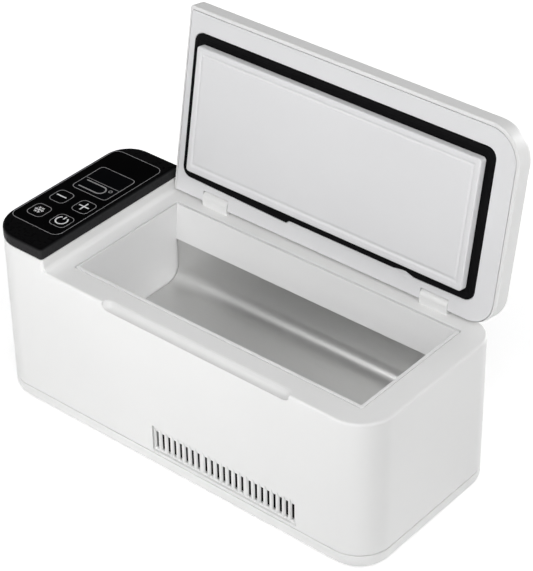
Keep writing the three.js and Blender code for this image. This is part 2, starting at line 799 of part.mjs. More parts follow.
function key(column, row) {
  const at = keyAt(column, row);
  const flangeZ = capUnderZ - keyFloat - keyFlangeThickness;
  return prism(keyShape(column, row, 0), flangeZ, lidTopZ + keyProud)
    .add(prism(keyShape(column, row, keyFlange), flangeZ, flangeZ + keyFlangeThickness))
    .add(bar('z', stemZ, flangeZ + keyFlangeThickness, at, stemRadius, smallSegments));
}

function keySwitch(column, row) {
  const at = keyAt(column, row);
  const plungerZ = stemZ - keyTravel - stemGap;
  return block(squareAt(at, switchSize), 0, boardTopZ, switchTopZ)
    .subtract(bar('z', plungerZ, switchTopZ + overcut, at, stemRadius + stemGap, smallSegments));
}

function controlBoard() {
  let body = box(
    boardX - boardWidth / 2, boardX + boardWidth / 2, boardY - boardLength / 2, boardY + boardLength / 2,
    boardTopZ - boardThickness, boardTopZ,
  );
  for (const y of boardScrewYs) {
    body = body.subtract(bar(
      'z', boardTopZ - boardThickness - overcut, boardTopZ + overcut, [boardX, y],
      boardScrewRadius + screwGap, smallSegments,
    ));
  }
  return body;
}

function dcSocket() {
  const outerY = backY + socketFlangeThickness;
  const boreEndY = outerY - socketBoreDepth;
  const at = [riserX, socketZ];
  return bar('y', outerY - socketLength, outerY, at, socketRadius)
    .add(bar('y', backY, outerY, at, socketFlangeRadius))
    .subtract(bar('y', boreEndY, outerY + overcut, at, socketBoreRadius, smallSegments))
    .add(bar('y', boreEndY - overcut, outerY - contactRecess, at, contactRadius, smallSegments));
}

function socketNut() {
  const innerY = backY - housingWall;
  const rearY = innerY - nutThickness;
  const at = [riserX, socketZ];
  return bar('y', rearY, innerY, at, nutRadius, nutSides)
    .subtract(bar('y', rearY - overcut, innerY + overcut, at, socketRadius + fitGap));
}

// Width of the hinge group that the lid shell makes room for
const hingeHalf = knuckleWidth / 2 + swingGap + lugWidth;

function withoutHingeRoom(body, half, z0, z1) {
  return hingeCentres.reduce((rest, x) => rest.subtract(box(
    x - half, x + half, hingeY - knuckleRadius - swingGap, backY + overcut, z0, z1,
  )), body);
}

function lidShell() {
  const body = prism(lidOutline(0), lidZ, lidTopZ, lidRimRound, lidEdgeRound)
    .subtract(prism(lidOutline(lidRim), lidZ - overcut, lidTopZ - lidSkin));
  return withoutHingeRoom(body, hingeHalf + fitGap, lidZ - overcut, hingeZ + lugRadius + swingGap);
}

const seal = {
  x0: well.x0 - sealOverlap,
  x1: well.x1 + sealOverlap,
  y0: well.y0 - sealOverlap,
  y1: well.y1 + sealOverlap,
};

function sealRing(margin) {
  const ring = evenOutline(seal, sealCorner + margin, margin);
  const inner = evenOutline(seal, Math.max(sealCorner - sealWidth - margin, fitGap), -sealWidth - margin);
  ring.holes.push(inner);
  return ring;
}

function lidInnerPanel() {
  const plateTopZ = lidZ + panelThickness;
  let body = prism(lidOutline(lidRim + fitGap), lidZ, plateTopZ)
    .subtract(prism(sealRing(fitGap), lidZ - overcut, lidZ + sealSeat + fitGap));
  body = withoutHingeRoom(body, hingeHalf - lugWidth, lidZ - overcut, lidTopZ);
  for (const x of hingeCentres) {
    for (const side of [-1, 1]) {
      const [near, far] = [x + side * (hingeHalf - lugWidth), x + side * hingeHalf];
      const [x0, x1] = [Math.min(near, far), Math.max(near, far)];
      body = body.add(bar('x', x0, x1, [hingeY, hingeZ], lugRadius, smallSegments))
        .add(box(x0, x1, hingeY - lugRadius, hingeY, lidZ, hingeZ))
        .subtract(bar('x', x0 - overcut, x1 + overcut, [hingeY, hingeZ], pinRadius + pinGap, smallSegments));
    }
  }
  return body;
}

function lidPlug() {
  const margin = sealOverlap - sealWidth - plugGap;
  const foot = evenOutline(well, plugCorner, margin);
  const face = new THREE.ExtrudeGeometry(evenOutline(well, 0, margin), {
    depth: plugDepth,
    bevelThickness: plugBevelHeight,
    bevelSize: plugBevel,
    bevelOffset: -plugBevel,
    bevelSegments: 1,
  });
  face.translate(0, 0, lidZ - plugDepth + plugBevelHeight);
  return prism(foot, lidZ - plugDepth, lidZ - fitGap).intersect(solid(face));
}

function lidFoam() {
  const z0 = lidZ + panelThickness + fitGap;
  let body = prism(lidOutline(lidRim + fitGap), z0, lidTopZ - lidSkin - fitGap);
  body = withoutHingeRoom(body, hingeHalf + fitGap, z0 - overcut, lidTopZ);
  for (const x of magnetXs) {
    const pocketZ = z0 + magnetHeight + fitGap;
    body = body.subtract(bar('z', z0 - overcut, pocketZ, [x, magnetY], magnetRadius + fitGap));
  }
  return body;
}

// Case, base and air openings
addPiece('upper_housing', upperHousing(), whitePlastic);
addPiece('base_cover', baseCover(), whitePlastic);
addPiece('vent_grille', ventGrille(), whitePlastic);
for (const [name, sx, sy] of corners) {
  const [x, y] = bossAt(sx, sy);
  const headZ = screwSeatZ - screwHeadHeight;
  const slot = (halfX, halfY) => box(
    x - halfX, x + halfX, y - halfY, y + halfY, headZ - overcut, headZ + crossSlotDepth,
  );
  const length = housingZ + bossHeight - 2 * overcut - screwSeatZ;
  const body = screw(x, y, headZ, screwHeadRadius, screwHeadHeight, screwRadius, length)
    .subtract(slot(screwRadius, crossSlotWidth / 2))
    .subtract(slot(crossSlotWidth / 2, screwRadius));
  addPiece(`base_screw_${name}`, body, steel);
  addPiece(`foot_${name}`, bar('z', 0, footHeight + footSeat, footAt(sx, sy), footRadius), blackRubber);
}

// Storage well and cooling stack
addPiece('liner_frame', linerFrame(), satinWhite);
addPiece('cold_trough', coldTrough(), satinAluminium);
addPiece('insulation_foam', insulationFoam(), paleFoam);
addPiece('cold_block', coldBlock(), satinAluminium);
const peltierArea = squareAt([stackX, wellY], peltierSize);
addPiece('peltier_module', block(peltierArea, 0, peltierZ, coldBlockZ), whiteCeramic);
addPiece('heat_sink', heatSink(), satinAluminium);
addPiece('stack_screw_left', stackScrew(stackScrewXs[0]), steel);
addPiece('stack_screw_right', stackScrew(stackScrewXs[1]), steel);
addPiece('fan_frame', fanFrame(), blackPlastic);
addPiece('fan_rotor', fanRotor(), blackPlastic);
for (const [name, sx, sy] of corners) {
  const [x, y] = fanScrewAt(sx, sy);
  const length = fanTopZ + sinkBase - fanScrewZ - screwHeadHeight;
  const body = screw(x, y, fanScrewZ, screwHeadRadius, screwHeadHeight, screwRadius, length);
  addPiece(`fan_screw_${name}`, body, steel);
}
addPiece('temperature_sensor', bar(
  'x', sensorX - sensorLength / 2, sensorX + sensorLength / 2, [wellY, sensorZ], sensorRadius, smallSegments,
), steel);

// Key panel
addPiece('control_cap', controlCap(), blackGloss);
addPiece('panel_overlay', panelOverlay(), blackGloss);
addPiece('display_window', block(display, 0, lidTopZ - lensThickness, lidTopZ), smokedLens);
const moduleTopZ = lidTopZ - lensThickness - fitGap;
addPiece('display_module', block(display, -lensLedge - fitGap, boardTopZ, moduleTopZ), blackPlastic);
addPiece('control_board', controlBoard(), greenBoard);
for (const [name, column, row] of keyNames) {
  addPiece(`key_${name}`, key(column, row), blackGloss);
  addPiece(`switch_${name}`, keySwitch(column, row), blackPlastic);
}
boardScrewYs.forEach((y, i) => {
  const headZ = boardTopZ - boardThickness - boardScrewHeadHeight;
  const length = capUnderZ - overcut - boardTopZ + boardThickness;
  addPiece(
    ['board_screw_front', 'board_screw_back'][i],
    screw(boardX, y, headZ, boardScrewHeadRadius, boardScrewHeadHeight, boardScrewRadius, length), steel,
  );
});

// Power inlet and wires; each wire rises to the underside of the board
addPiece('dc_socket', dcSocket(), blackPlastic);
addPiece('socket_nut', socketNut(), steel);
const riserEndZ = boardTopZ - boardThickness - fitGap;
function riserLead(from, y, z) {
  return lead([from, new THREE.Vector3(riserX, y, z), new THREE.Vector3(riserX, y, riserEndZ)]);
}
const socketRearY = backY + socketFlangeThickness - socketLength - fitGap;
const peltierLeadY = wellY + peltierLeadOffset;
const peltierLeadZ = peltierZ + peltierHeight / 2;
const fanLeadY = wellY + fanLeadOffset;
const fanLeadZ = fanZ + fanHeight / 2;
addPiece('power_lead', riserLead(
  new THREE.Vector3(riserX, socketRearY, socketZ), powerLeadY, socketZ,
), blackRubber);
addPiece('peltier_lead', riserLead(
  new THREE.Vector3(peltierArea.x0 - fitGap, peltierLeadY, peltierLeadZ), peltierLeadY, peltierLeadZ,
), blackRubber);
addPiece('fan_lead', riserLead(
  new THREE.Vector3(stackX - fanSize / 2 - fitGap, fanLeadY, fanLeadZ), fanLeadY, fanLeadZ,
), blackRubber);
addPiece('sensor_lead', riserLead(
  new THREE.Vector3(sensorX - sensorLength / 2 - fitGap, wellY, sensorZ), wellY, sensorZ,
), blackRubber);

// Lid, hinge pins and the magnets that hold the lid shut
addPiece('lid_shell', lidShell(), whitePlastic, lid);
addPiece('lid_inner_panel', lidInnerPanel(), whitePlastic, lid);
addPiece('lid_plug', lidPlug(), whitePlastic, lid);
addPiece('lid_seal', prism(sealRing(0), lidZ - sealProud, lidZ + sealSeat, sealRound, 0), blackRubber, lid);
addPiece('lid_foam', lidFoam(), paleFoam, lid);
['left', 'right'].forEach((side, i) => {
  const pinX = hingeCentres[i];
  const at = [magnetXs[i], magnetY];
  const lidMagnetZ = lidZ + panelThickness + fitGap;
  const lidMagnet = bar('z', lidMagnetZ, lidMagnetZ + magnetHeight, at, magnetRadius);
  addPiece(`hinge_pin_${side}`, bar(
    'x', pinX - hingeHalf, pinX + hingeHalf, [hingeY, hingeZ], pinRadius, smallSegments,
  ), steel);
  addPiece(`case_magnet_${side}`, bar('z', deckUnderZ - magnetHeight, deckUnderZ, at, magnetRadius), steel);
  addPiece(`lid_magnet_${side}`, lidMagnet, steel, lid);
});

// The origin lies under the middle of the whole object, on the plane that the feet stand on
coolingCase.updateMatrixWorld(true);
const reach = new THREE.Box3().setFromObject(coolingCase, true);
const middle = reach.getCenter(new THREE.Vector3());
coolingCase.position.set(-middle.x, -middle.y, -reach.min.z);

export default coolingCase;
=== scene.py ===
import json
import math

import bmesh
import bpy
from mathutils import Matrix, Vector


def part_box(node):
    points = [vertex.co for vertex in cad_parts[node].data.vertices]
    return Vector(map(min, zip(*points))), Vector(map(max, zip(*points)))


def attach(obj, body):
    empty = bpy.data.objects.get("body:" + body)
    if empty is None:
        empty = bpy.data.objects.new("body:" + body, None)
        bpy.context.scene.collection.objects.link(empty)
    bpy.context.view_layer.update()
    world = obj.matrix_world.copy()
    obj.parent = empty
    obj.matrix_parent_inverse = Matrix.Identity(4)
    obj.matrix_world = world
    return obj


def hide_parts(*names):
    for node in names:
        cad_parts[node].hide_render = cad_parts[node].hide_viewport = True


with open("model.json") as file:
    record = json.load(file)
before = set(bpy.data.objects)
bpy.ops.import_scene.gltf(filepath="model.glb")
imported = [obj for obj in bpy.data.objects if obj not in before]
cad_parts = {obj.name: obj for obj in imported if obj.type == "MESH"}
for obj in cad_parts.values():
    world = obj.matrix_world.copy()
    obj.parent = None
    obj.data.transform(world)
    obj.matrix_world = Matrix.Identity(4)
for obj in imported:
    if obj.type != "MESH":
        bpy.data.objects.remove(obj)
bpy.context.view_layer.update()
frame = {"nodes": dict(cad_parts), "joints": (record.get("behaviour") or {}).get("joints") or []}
bpy.context.scene.view_settings.view_transform = "Standard"
mm = 0.001

# sizes that several pieces share
fitGap = 0.3 * mm                        # clearance between fitted pieces
spill = 1 * mm                           # how far a cutting shape reaches past what it cuts
deckThickness = 4 * mm
linerWall = 1.8 * mm
thinRim = 0.7 * mm                       # liner's rim along the hinge side and the left end
metalWall = 1.2 * mm
metalLift = 1.8 * mm                     # the trough's metal lies this much above its solid
lidRaise = 0.9 * mm                      # gap between the deck and the closed lid
scoopLength = 112 * mm                   # finger groove, centred on the well
ventFlange = 1.8 * mm                    # hidden edge of the air grille at its ends
ventTop = 2.4 * mm                       # and along its top
leastRadius = 0.04 * mm                  # a sharp corner still has this radius
flareEnd = 80                            # rounded mouths stop short of lying flat, in degrees
seamSteps = 3                            # facets across the smallest rounded edges
lipSteps = 4                             # and across those of lips and small pieces
cornerNames = ("front_left", "front_right", "back_left", "back_right")
keyNames = ("set", "power", "minus", "plus")


def middle(nodeName):
    low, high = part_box(nodeName)
    return (low + high) / 2


# places that several pieces share, read from the frame
housingLow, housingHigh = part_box("upper_housing")
troughLow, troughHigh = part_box("cold_trough")
grilleLow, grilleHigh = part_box("vent_grille")
sheetLow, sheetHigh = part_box("panel_overlay")
lensLow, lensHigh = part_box("display_window")
linerLow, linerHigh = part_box("liner_frame")
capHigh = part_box("control_cap")[1]
leftX, rightX = housingLow.x, housingHigh.x
frontY, backY = housingLow.y, housingHigh.y
housingZ, towerZ, towerX = housingLow.z, housingHigh.z, capHigh.x
deckZ = linerHigh.z
wellX0, wellX1 = troughLow.x - fitGap, troughHigh.x + fitGap
wellY0, wellY1 = troughLow.y - fitGap, troughHigh.y + fitGap
lidZ, lidTopZ = deckZ + lidRaise, capHigh.z
scoopX0, scoopX1 = (wellX0 + wellX1 - scoopLength) / 2, (wellX0 + wellX1 + scoopLength) / 2
ventX0, ventX1 = grilleLow.x + ventFlange, grilleHigh.x - ventFlange
ventZ0, ventZ1 = grilleLow.z - fitGap, grilleHigh.z - ventTop
lidJoint = next(j for j in frame["joints"] if j["name"] == "lid_hinge")
hingeAxis = Vector(lidJoint["pos_m"])
hingeXs = [middle(pin).x for pin in ("hinge_pin_left", "hinge_pin_right")]
# the lid is shaped shut and then turned open, as the frame stands at rest
lidOpen = (Matrix.Translation(hingeAxis)
           @ Matrix.Rotation(-math.radians(lidJoint["range_deg"][1]), 4, "X")
           @ Matrix.Translation(-hingeAxis))


# mesh tools

def turnSteps(start, end, steps):
    # evenly spaced angles between two given in degrees
    return [math.radians(start + (end - start) * i / steps) for i in range(steps + 1)]


def arcPoints(cx, cy, radius, start, end, steps):
    return [(cx + radius * math.cos(a), cy + radius * math.sin(a)) for a in turnSteps(start, end, steps)]


def circlePoints(cx, cy, radius, steps):
    return arcPoints(cx, cy, radius, 0, 360 - 360 / steps, steps - 1)


def roundedRect(x0, x1, y0, y1, radii, steps=6):
    # radii: front right, back right, back left, front left
    fr, br, bl, fl = [max(r, leastRadius) for r in radii]
    return (arcPoints(x1 - fr, y0 + fr, fr, -90, 0, steps) + arcPoints(x1 - br, y1 - br, br, 0, 90, steps)
            + arcPoints(x0 + bl, y1 - bl, bl, 90, 180, steps)
            + arcPoints(x0 + fl, y0 + fl, fl, 180, 270, steps))


def aroundWell(left, right, front, back, corner):
    # outline of the well with a margin on each side
    return roundedRect(wellX0 - left, wellX1 + right, wellY0 - front, wellY1 + back, (corner,) * 4)


def areaOutline(low, high, corner, margin=0, steps=8):
    x0, x1, y0, y1 = low.x - margin, high.x + margin, low.y - margin, high.y + margin
    return roundedRect(x0, x1, y0, y1, (corner,) * 4, steps)


def quarter(radius, steps, end=90):
    # pairs (drawn in, risen) along a rounded edge, from its upright side to its flat side
    return [(radius * (1 - math.cos(a)), radius * math.sin(a)) for a in turnSteps(0, end, steps)]


def lowEdge(radius, z, steps):
    # rounded lower edge, from its flat side at height z up
    return [(drawn, z + radius - risen) for drawn, risen in reversed(quarter(radius, steps))]


def highEdge(radius, z, steps):
    # rounded upper edge, up to its flat side at height z
    return [(drawn, z - radius + risen) for drawn, risen in quarter(radius, steps)]


def loft(rings, bm=None, closed=False):
    # skin over rings of equal count, capped at both ends unless it closes on itself
    bm = bmesh.new() if bm is None else bm
    loops = [[bm.verts.new(p) for p in ring] for ring in rings]
    count = len(loops[0])
    for low, high in zip(loops, loops[1:] + loops[:1] if closed else loops[1:]):
        for i in range(count):
            j = (i + 1) % count
            bm.faces.new((low[i], low[j], high[j], high[i]))
    if not closed:
        bm.faces.new(list(reversed(loops[0])))
        bm.faces.new(loops[-1])
    return bm


def levelLoft(outline, profile, closed=False):
    # profile: pairs (drawn in, height) from the bottom up
    return loft([[(x, y, z) for x, y in outline(inset)] for inset, z in profile], closed=closed)


def prism(outline, z0, z1, bm=None):
    return loft([[(x, y, z) for x, y in outline] for z in (z0, z1)], bm)


def block(x0, x1, y0, y1, z0, z1):
    return prism([(x0, y0), (x1, y0), (x1, y1), (x0, y1)], z0, z1)


def lathe(centre, profile, axis="Z", steps=40, bm=None):
    # profile: pairs (radius, height) along the axis
    turn = Matrix.Rotation(math.radians(-90), 3, "X") if axis == "Y" else Matrix.Identity(3)
    circle = circlePoints(0, 0, 1, steps)
    return loft([[Vector(centre) + turn @ Vector((x * r, y * r, h)) for x, y in circle]
                 for r, h in profile], bm)


def meshObject(name, bm):
    bmesh.ops.recalc_face_normals(bm, faces=bm.faces)
    mesh = bpy.data.meshes.new(name)
    bm.to_mesh(mesh)
    bm.free()
    obj = bpy.data.objects.new(name, mesh)
    bpy.context.scene.collection.objects.link(obj)
    return obj


def settle(obj):
    # turn the modifiers into plain mesh
    bpy.context.view_layer.update()
    shaped = bpy.data.meshes.new_from_object(obj.evaluated_get(bpy.context.evaluated_depsgraph_get()))
    obj.modifiers.clear()
    obj.data = shaped


def combine(obj, bm, operation):
    tool = meshObject("tool", bm)
    step = obj.modifiers.new("combine", "BOOLEAN")
    step.operation = operation
    step.solver = "EXACT"
    step.object = tool
    settle(obj)
    bpy.data.objects.remove(tool)


def cut(obj, bm):
    combine(obj, bm, "DIFFERENCE")


def weld(obj, bm):
    combine(obj, bm, "UNION")


def soften(obj, width, steps=2, angle=40):
    step = obj.modifiers.new("soften", "BEVEL")
    step.width = width
    step.segments = steps
    step.limit_method = "ANGLE"
    step.angle_limit = math.radians(angle)
    settle(obj)


def place(obj, body, finish, nodes=(), move=None, sharpAngle=32):
    mesh = obj.data
    if move is not None:
        mesh.transform(move)
    mesh.materials.clear()
    mesh.materials.append(finishes[finish])
    mesh.polygons.foreach_set("use_smooth", [True] * len(mesh.polygons))
    mesh.set_sharp_from_angle(angle=math.radians(sharpAngle))
    even = obj.modifiers.new("evenNormals", "WEIGHTED_NORMAL")
    even.keep_sharp = True
    even.weight = 100
    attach(obj, body)
    if nodes:
        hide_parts(*nodes)


# finishes

def link(tree, value, socket):
    # value: another socket, a colour or a number
    if isinstance(value, tuple):
        socket.default_value = (*value, 1)
    elif isinstance(value, (int, float)):
        socket.default_value = value
    else:
        tree.links.new(value, socket)


def startFinish(name):
    material = bpy.data.materials.new(name)
    material.use_nodes = True
    tree = material.node_tree
    coordinates = tree.nodes.new("ShaderNodeTexCoord").outputs["Object"]
    return material, tree, tree.nodes["Principled BSDF"], coordinates


def addNoise(tree, coordinates, scale, detail=3.0, stretch=None):
    if stretch:
        mapping = tree.nodes.new("ShaderNodeMapping")
        mapping.inputs["Scale"].default_value = stretch
        link(tree, coordinates, mapping.inputs["Vector"])
        coordinates = mapping.outputs["Vector"]
    noise = tree.nodes.new("ShaderNodeTexNoise")
    noise.inputs["Scale"].default_value = scale
    noise.inputs["Detail"].default_value = detail
    link(tree, coordinates, noise.inputs["Vector"])
    return noise.outputs["Fac"]


def spread(tree, value, low, high, fromLow=0.3, fromHigh=0.7):
    ranged = tree.nodes.new("ShaderNodeMapRange")
    ends = {"From Min": fromLow, "From Max": fromHigh, "To Min": low, "To Max": high, "Value": value}
    for socket, end in ends.items():
        link(tree, end, ranged.inputs[socket])
    return ranged.outputs["Result"]


def joinValues(tree, operation, *values):
    share = values[0]
    for value in values[1:]:
        step = tree.nodes.new("ShaderNodeMath")
        step.operation = operation
        link(tree, share, step.inputs[0])
        link(tree, value, step.inputs[1])
        share = step.outputs[0]
    return share


def splitAxes(tree, vector):
    split = tree.nodes.new("ShaderNodeSeparateXYZ")
    link(tree, vector, split.inputs[0])
    return split.outputs


def blendColours(tree, share, first, second):
    # the mix node's sockets for colours are in places 6 and 7, and 2 on its way out
    mix = tree.nodes.new("ShaderNodeMix")
    mix.data_type = "RGBA"
    link(tree, share, mix.inputs["Factor"])
    link(tree, first, mix.inputs[6])
    link(tree, second, mix.inputs[7])
    return mix.outputs[2]


def addBump(tree, shader, height, strength, depth):
    bump = tree.nodes.new("ShaderNodeBump")
    bump.inputs["Strength"].default_value = strength
    bump.inputs["Distance"].default_value = depth
    link(tree, height, bump.inputs["Height"])
    link(tree, bump.outputs["Normal"], shader.inputs["Normal"])


def upwardShare(tree):
    # 1 on faces that look up, 0 on upright sides
    normal = tree.nodes.new("ShaderNodeNewGeometry").outputs["Normal"]
    return spread(tree, splitAxes(tree, normal)["Z"], 0, 1, *skinSet["upward"])


# painted shade in the finger groove: where it fades past the ends, behind the front and below the deck
grooveShade = {"ends": 0.3 * mm, "lip": (0.06 * mm, 0.36 * mm), "rear": (6 * mm, 6.6 * mm),
          "deck": (0.24 * mm, 0.024 * mm)}
# axis, share before and after, and the stretch where it changes
grooveShadeFades = [("X", 0, 1, scoopX0 - grooveShade["ends"], scoopX0),
               ("X", 1, 0, scoopX1, scoopX1 + grooveShade["ends"]),
               ("Y", 0, 1, *[frontY + reach for reach in grooveShade["lip"]]),
               ("Y", 1, 0, *[frontY + reach for reach in grooveShade["rear"]]),
               ("Z", 1, 0, *[deckZ - drop for drop in grooveShade["deck"]])]


def grooveShadeShare(tree, at):
    # 1 where the finger groove takes its painted shade, 0 on the faces around it
    axes = splitAxes(tree, at)
    return joinValues(tree, "MULTIPLY", *[spread(tree, axes[axis], *fade) for axis, *fade in grooveShadeFades])


# what the finishes share
skinSet = {"ior": 1.46, "specular": 0.5, "depth": 0.02 * mm, "detail": 2, "glossPatch": 6, "lineDetail": 4,
           "cellDepth": 0.3 * mm, "cellReach": 0.7, "upward": (0.3, 0.9)}


def mouldedFinish(name, look):
    # moulded plastic: faint mottling and a fine skin; some looks add a painted reflection on upright sides
    # or painted shade in the finger groove
    material, tree, shader, at = startFinish(name)
    mottle = spread(tree, addNoise(tree, at, look["mottleScale"]), 0, 1)
    base = blendColours(tree, mottle, look["colour"], look["tint"])
    # painted reflection: upright sides lighter than faces that look up
    if "sideSheen" in look:
        base = blendColours(tree, upwardShare(tree), look["sideSheen"], base)
    # painted shade: the finger groove darker than the faces around it
    if "grooveShade" in look:
        base = blendColours(tree, grooveShadeShare(tree, at), base, look["grooveShade"])
    patches = addNoise(tree, at, look["skinScale"] / skinSet["glossPatch"])
    skin = addNoise(tree, at, look["skinScale"], skinSet["detail"])
    link(tree, base, shader.inputs["Base Color"])
    link(tree, spread(tree, patches, *look["roughness"]), shader.inputs["Roughness"])
    addBump(tree, shader, skin, look["skin"], skinSet["depth"])
    shader.inputs["IOR"].default_value = skinSet["ior"]
    shader.inputs["Specular IOR Level"].default_value = look.get("specular", skinSet["specular"])
    return material


def metalFinish(name, look):
    # worked metal: fine lines along the rolling direction over soft stains
    material, tree, shader, at = startFinish(name)
    lines = addNoise(tree, at, look["lineScale"], skinSet["lineDetail"], look["lineStretch"])
    stain = spread(tree, addNoise(tree, at, look["stainScale"]), 0, 1)
    link(tree, blendColours(tree, stain, look["colour"], look["tint"]), shader.inputs["Base Color"])
    link(tree, spread(tree, lines, *look["roughness"]), shader.inputs["Roughness"])
    addBump(tree, shader, lines, look["skin"], skinSet["depth"])
    shader.inputs["Metallic"].default_value = 1.0
    return material


def cellFinish(name, look):
    # closed cells or beads: a cell pattern in colour and relief
    material, tree, shader, at = startFinish(name)
    cells = tree.nodes.new("ShaderNodeTexVoronoi")
    cells.inputs["Scale"].default_value = look["cellScale"]
    link(tree, at, cells.inputs["Vector"])
    share = spread(tree, cells.outputs["Distance"], 0, 1, 0, skinSet["cellReach"])
    link(tree, blendColours(tree, share, look["colour"], look["tint"]), shader.inputs["Base Color"])
    link(tree, spread(tree, share, *look["roughness"]), shader.inputs["Roughness"])
    addBump(tree, shader, share, look["skin"], skinSet["cellDepth"])
    return material


whitePlastic = {"colour": (0.82, 0.82, 0.815), "tint": (0.80, 0.80, 0.797),
                "roughness": (0.30, 0.40), "mottleScale": 14, "skinScale": 2400, "skin": 0.05}
mouldedLooks = {
    "whiteShell": whitePlastic,
    # painted shade in the finger groove
    "housingShell": {**whitePlastic, "grooveShade": (0.66, 0.66, 0.657)},
    # the satin white painted darker for the lid, as painted shade, with a faint blue tint of its own
    "lidSatin": {"colour": (0.775, 0.775, 0.785), "tint": (0.755, 0.755, 0.766),
                 "roughness": (0.42, 0.52), "mottleScale": 18, "skinScale": 3200, "skin": 0.08},
    # the satin white painted lighter for the well's liner, as painted light against the shade in the well
    "whiteSatin": {"colour": (0.84, 0.84, 0.84), "tint": (0.82, 0.82, 0.82),
                   "roughness": (0.42, 0.52), "mottleScale": 18, "skinScale": 3200, "skin": 0.08},
    "blackGloss": {"colour": (0.0016, 0.0016, 0.0018), "tint": (0.0024, 0.0024, 0.0026), "specular": 0.006,
                   "roughness": (0.10, 0.18), "mottleScale": 40, "skinScale": 1800, "skin": 0.02},
    "blackCap": {"colour": (0.0025, 0.0025, 0.0028), "tint": (0.0035, 0.0035, 0.0038),
                 # painted reflection: the upright sides lighter than the top
                 "sideSheen": (0.03, 0.03, 0.031), "specular": 0.014,
                 "roughness": (0.24, 0.34), "mottleScale": 30, "skinScale": 2600, "skin": 0.05},
    "blackMatte": {"colour": (0.016, 0.016, 0.017), "tint": (0.022, 0.022, 0.023),
                   "roughness": (0.5, 0.65), "mottleScale": 60, "skinScale": 3000, "skin": 0.12},
    "smokedLens": {"colour": (0.0022, 0.0024, 0.003), "tint": (0.003, 0.0032, 0.004), "specular": 0.008,
                   "roughness": (0.05, 0.09), "mottleScale": 30, "skinScale": 900, "skin": 0.01},
    "sealRubber": {"colour": (0.0035, 0.0035, 0.004), "tint": (0.005, 0.005, 0.0055), "specular": 0.05,
                   "roughness": (0.55, 0.7), "mottleScale": 80, "skinScale": 2200, "skin": 0.25},
    "lineInk": {"colour": (0.30, 0.30, 0.305), "tint": (0.26, 0.26, 0.265),
                "roughness": (0.4, 0.5), "mottleScale": 300, "skinScale": 5000, "skin": 0.1},
    "iconInk": {"colour": (0.80, 0.81, 0.82), "tint": (0.74, 0.75, 0.76),
                "roughness": (0.4, 0.5), "mottleScale": 300, "skinScale": 5000, "skin": 0.1},
    "ceramicWhite": {"colour": (0.84, 0.83, 0.80), "tint": (0.78, 0.77, 0.74),
                     "roughness": (0.55, 0.7), "mottleScale": 200, "skinScale": 4000, "skin": 0.2},
    "boardGreen": {"colour": (0.02, 0.13, 0.07), "tint": (0.03, 0.18, 0.10),
                   "roughness": (0.3, 0.45), "mottleScale": 400, "skinScale": 1500, "skin": 0.2}}
metalLooks = {
    "troughMetal": {"colour": (0.66, 0.66, 0.654), "tint": (0.64, 0.64, 0.634), "roughness": (0.37, 0.43),
                    "lineScale": 900, "lineStretch": (0.03, 1, 1), "stainScale": 16, "skin": 0.05},
    "blockMetal": {"colour": (0.60, 0.60, 0.60), "tint": (0.52, 0.52, 0.52), "roughness": (0.35, 0.5),
                   "lineScale": 1200, "lineStretch": (1, 0.05, 1), "stainScale": 60, "skin": 0.15},
    "platedSteel": {"colour": (0.58, 0.58, 0.59), "tint": (0.48, 0.48, 0.49), "roughness": (0.22, 0.36),
                    "lineScale": 3000, "lineStretch": (1, 1, 0.2), "stainScale": 300, "skin": 0.12}}
foamLook = {"colour": (0.80, 0.77, 0.66), "tint": (0.66, 0.63, 0.52), "roughness": (0.85, 0.95),
            "cellScale": 420, "skin": 0.4}
finishes = {name: mouldedFinish(name, look) for name, look in mouldedLooks.items()}
finishes.update({name: metalFinish(name, look) for name, look in metalLooks.items()})
finishes["foamBeads"] = cellFinish("foamBeads", foamLook)
print("finishes made:", len(finishes))

# camera at the photograph's angle; the image is 533 wide and 571 high
cameraSet = {"aim": (22.68 * mm, -15.97 * mm, 100.10 * mm), "azimuth": 40.452, "elevation": 34.991,
             "roll": -0.936, "distance": 998.854 * mm, "lens": 138.28, "sensor": 36,
             "shift": (-0.0011, -0.0013)}


def makeCamera(setUp):
    azimuth, elevation, roll = [math.radians(setUp[k]) for k in ("azimuth", "elevation", "roll")]
    level = Vector((math.cos(azimuth), math.sin(azimuth), 0))
    ahead = Vector((math.sin(azimuth), -math.cos(azimuth), 0))
    back = ahead * math.cos(elevation) + Vector((0, 0, math.sin(elevation)))
    upright = back.cross(level)
    right = level * math.cos(roll) + upright * math.sin(roll)
    up = upright * math.cos(roll) - level * math.sin(roll)
    camera = bpy.data.objects.new("camera", bpy.data.cameras.new("camera"))
    bpy.context.scene.collection.objects.link(camera)
    turned = Matrix((right, up, back)).transposed().to_4x4()
    camera.matrix_world = Matrix.Translation(Vector(setUp["aim"]) + back * setUp["distance"]) @ turned
    camera.data.lens = setUp["lens"]
    camera.data.sensor_width = setUp["sensor"]
    camera.data.shift_x, camera.data.shift_y = setUp["shift"]
    bpy.context.scene.camera = camera


makeCamera(cameraSet)

# studio: pale floor, white surround and soft lamps
studio = {"floorSize": 6.0, "floorThickness": 10 * mm, "floorColour": (0.86, 0.86, 0.86),
          "floorTint": (0.8514, 0.8514, 0.8514), "floorGrain": 30, "floorRoughness": 0.9,
          "floorSpecular": 0.1, "floorLift": (0.5, 0.85), "liftReach": (0.17, 0.42), "surround": 0.07,
          "ceiling": 0.15, "ceilingRise": (0.25, 0.5), "lampAim": (0, 0, 0.08),
          "lamps": {"keyLamp": {"from": (-0.06, -0.34, 0.24), "size": 0.25, "power": 0.68},
                    "topLamp": {"from": (0.45, -0.7, 1.25), "size": 1.0, "power": 9.0},
                    "sideLamp": {"from": (1.25, -0.15, 0.72), "size": 0.8, "power": 5.3},
                    "backLamp": {"from": (0.35, 1.25, 0.35), "size": 0.5, "power": 8.0}}}


def seenShare(tree):
    # 1 for rays from the eye, from a mirror or through something clear
    path = tree.nodes.new("ShaderNodeLightPath").outputs
    kinds = ("Is Camera Ray", "Is Glossy Ray", "Is Transmission Ray")
    return joinValues(tree, "MAXIMUM", *[path[kind] for kind in kinds])


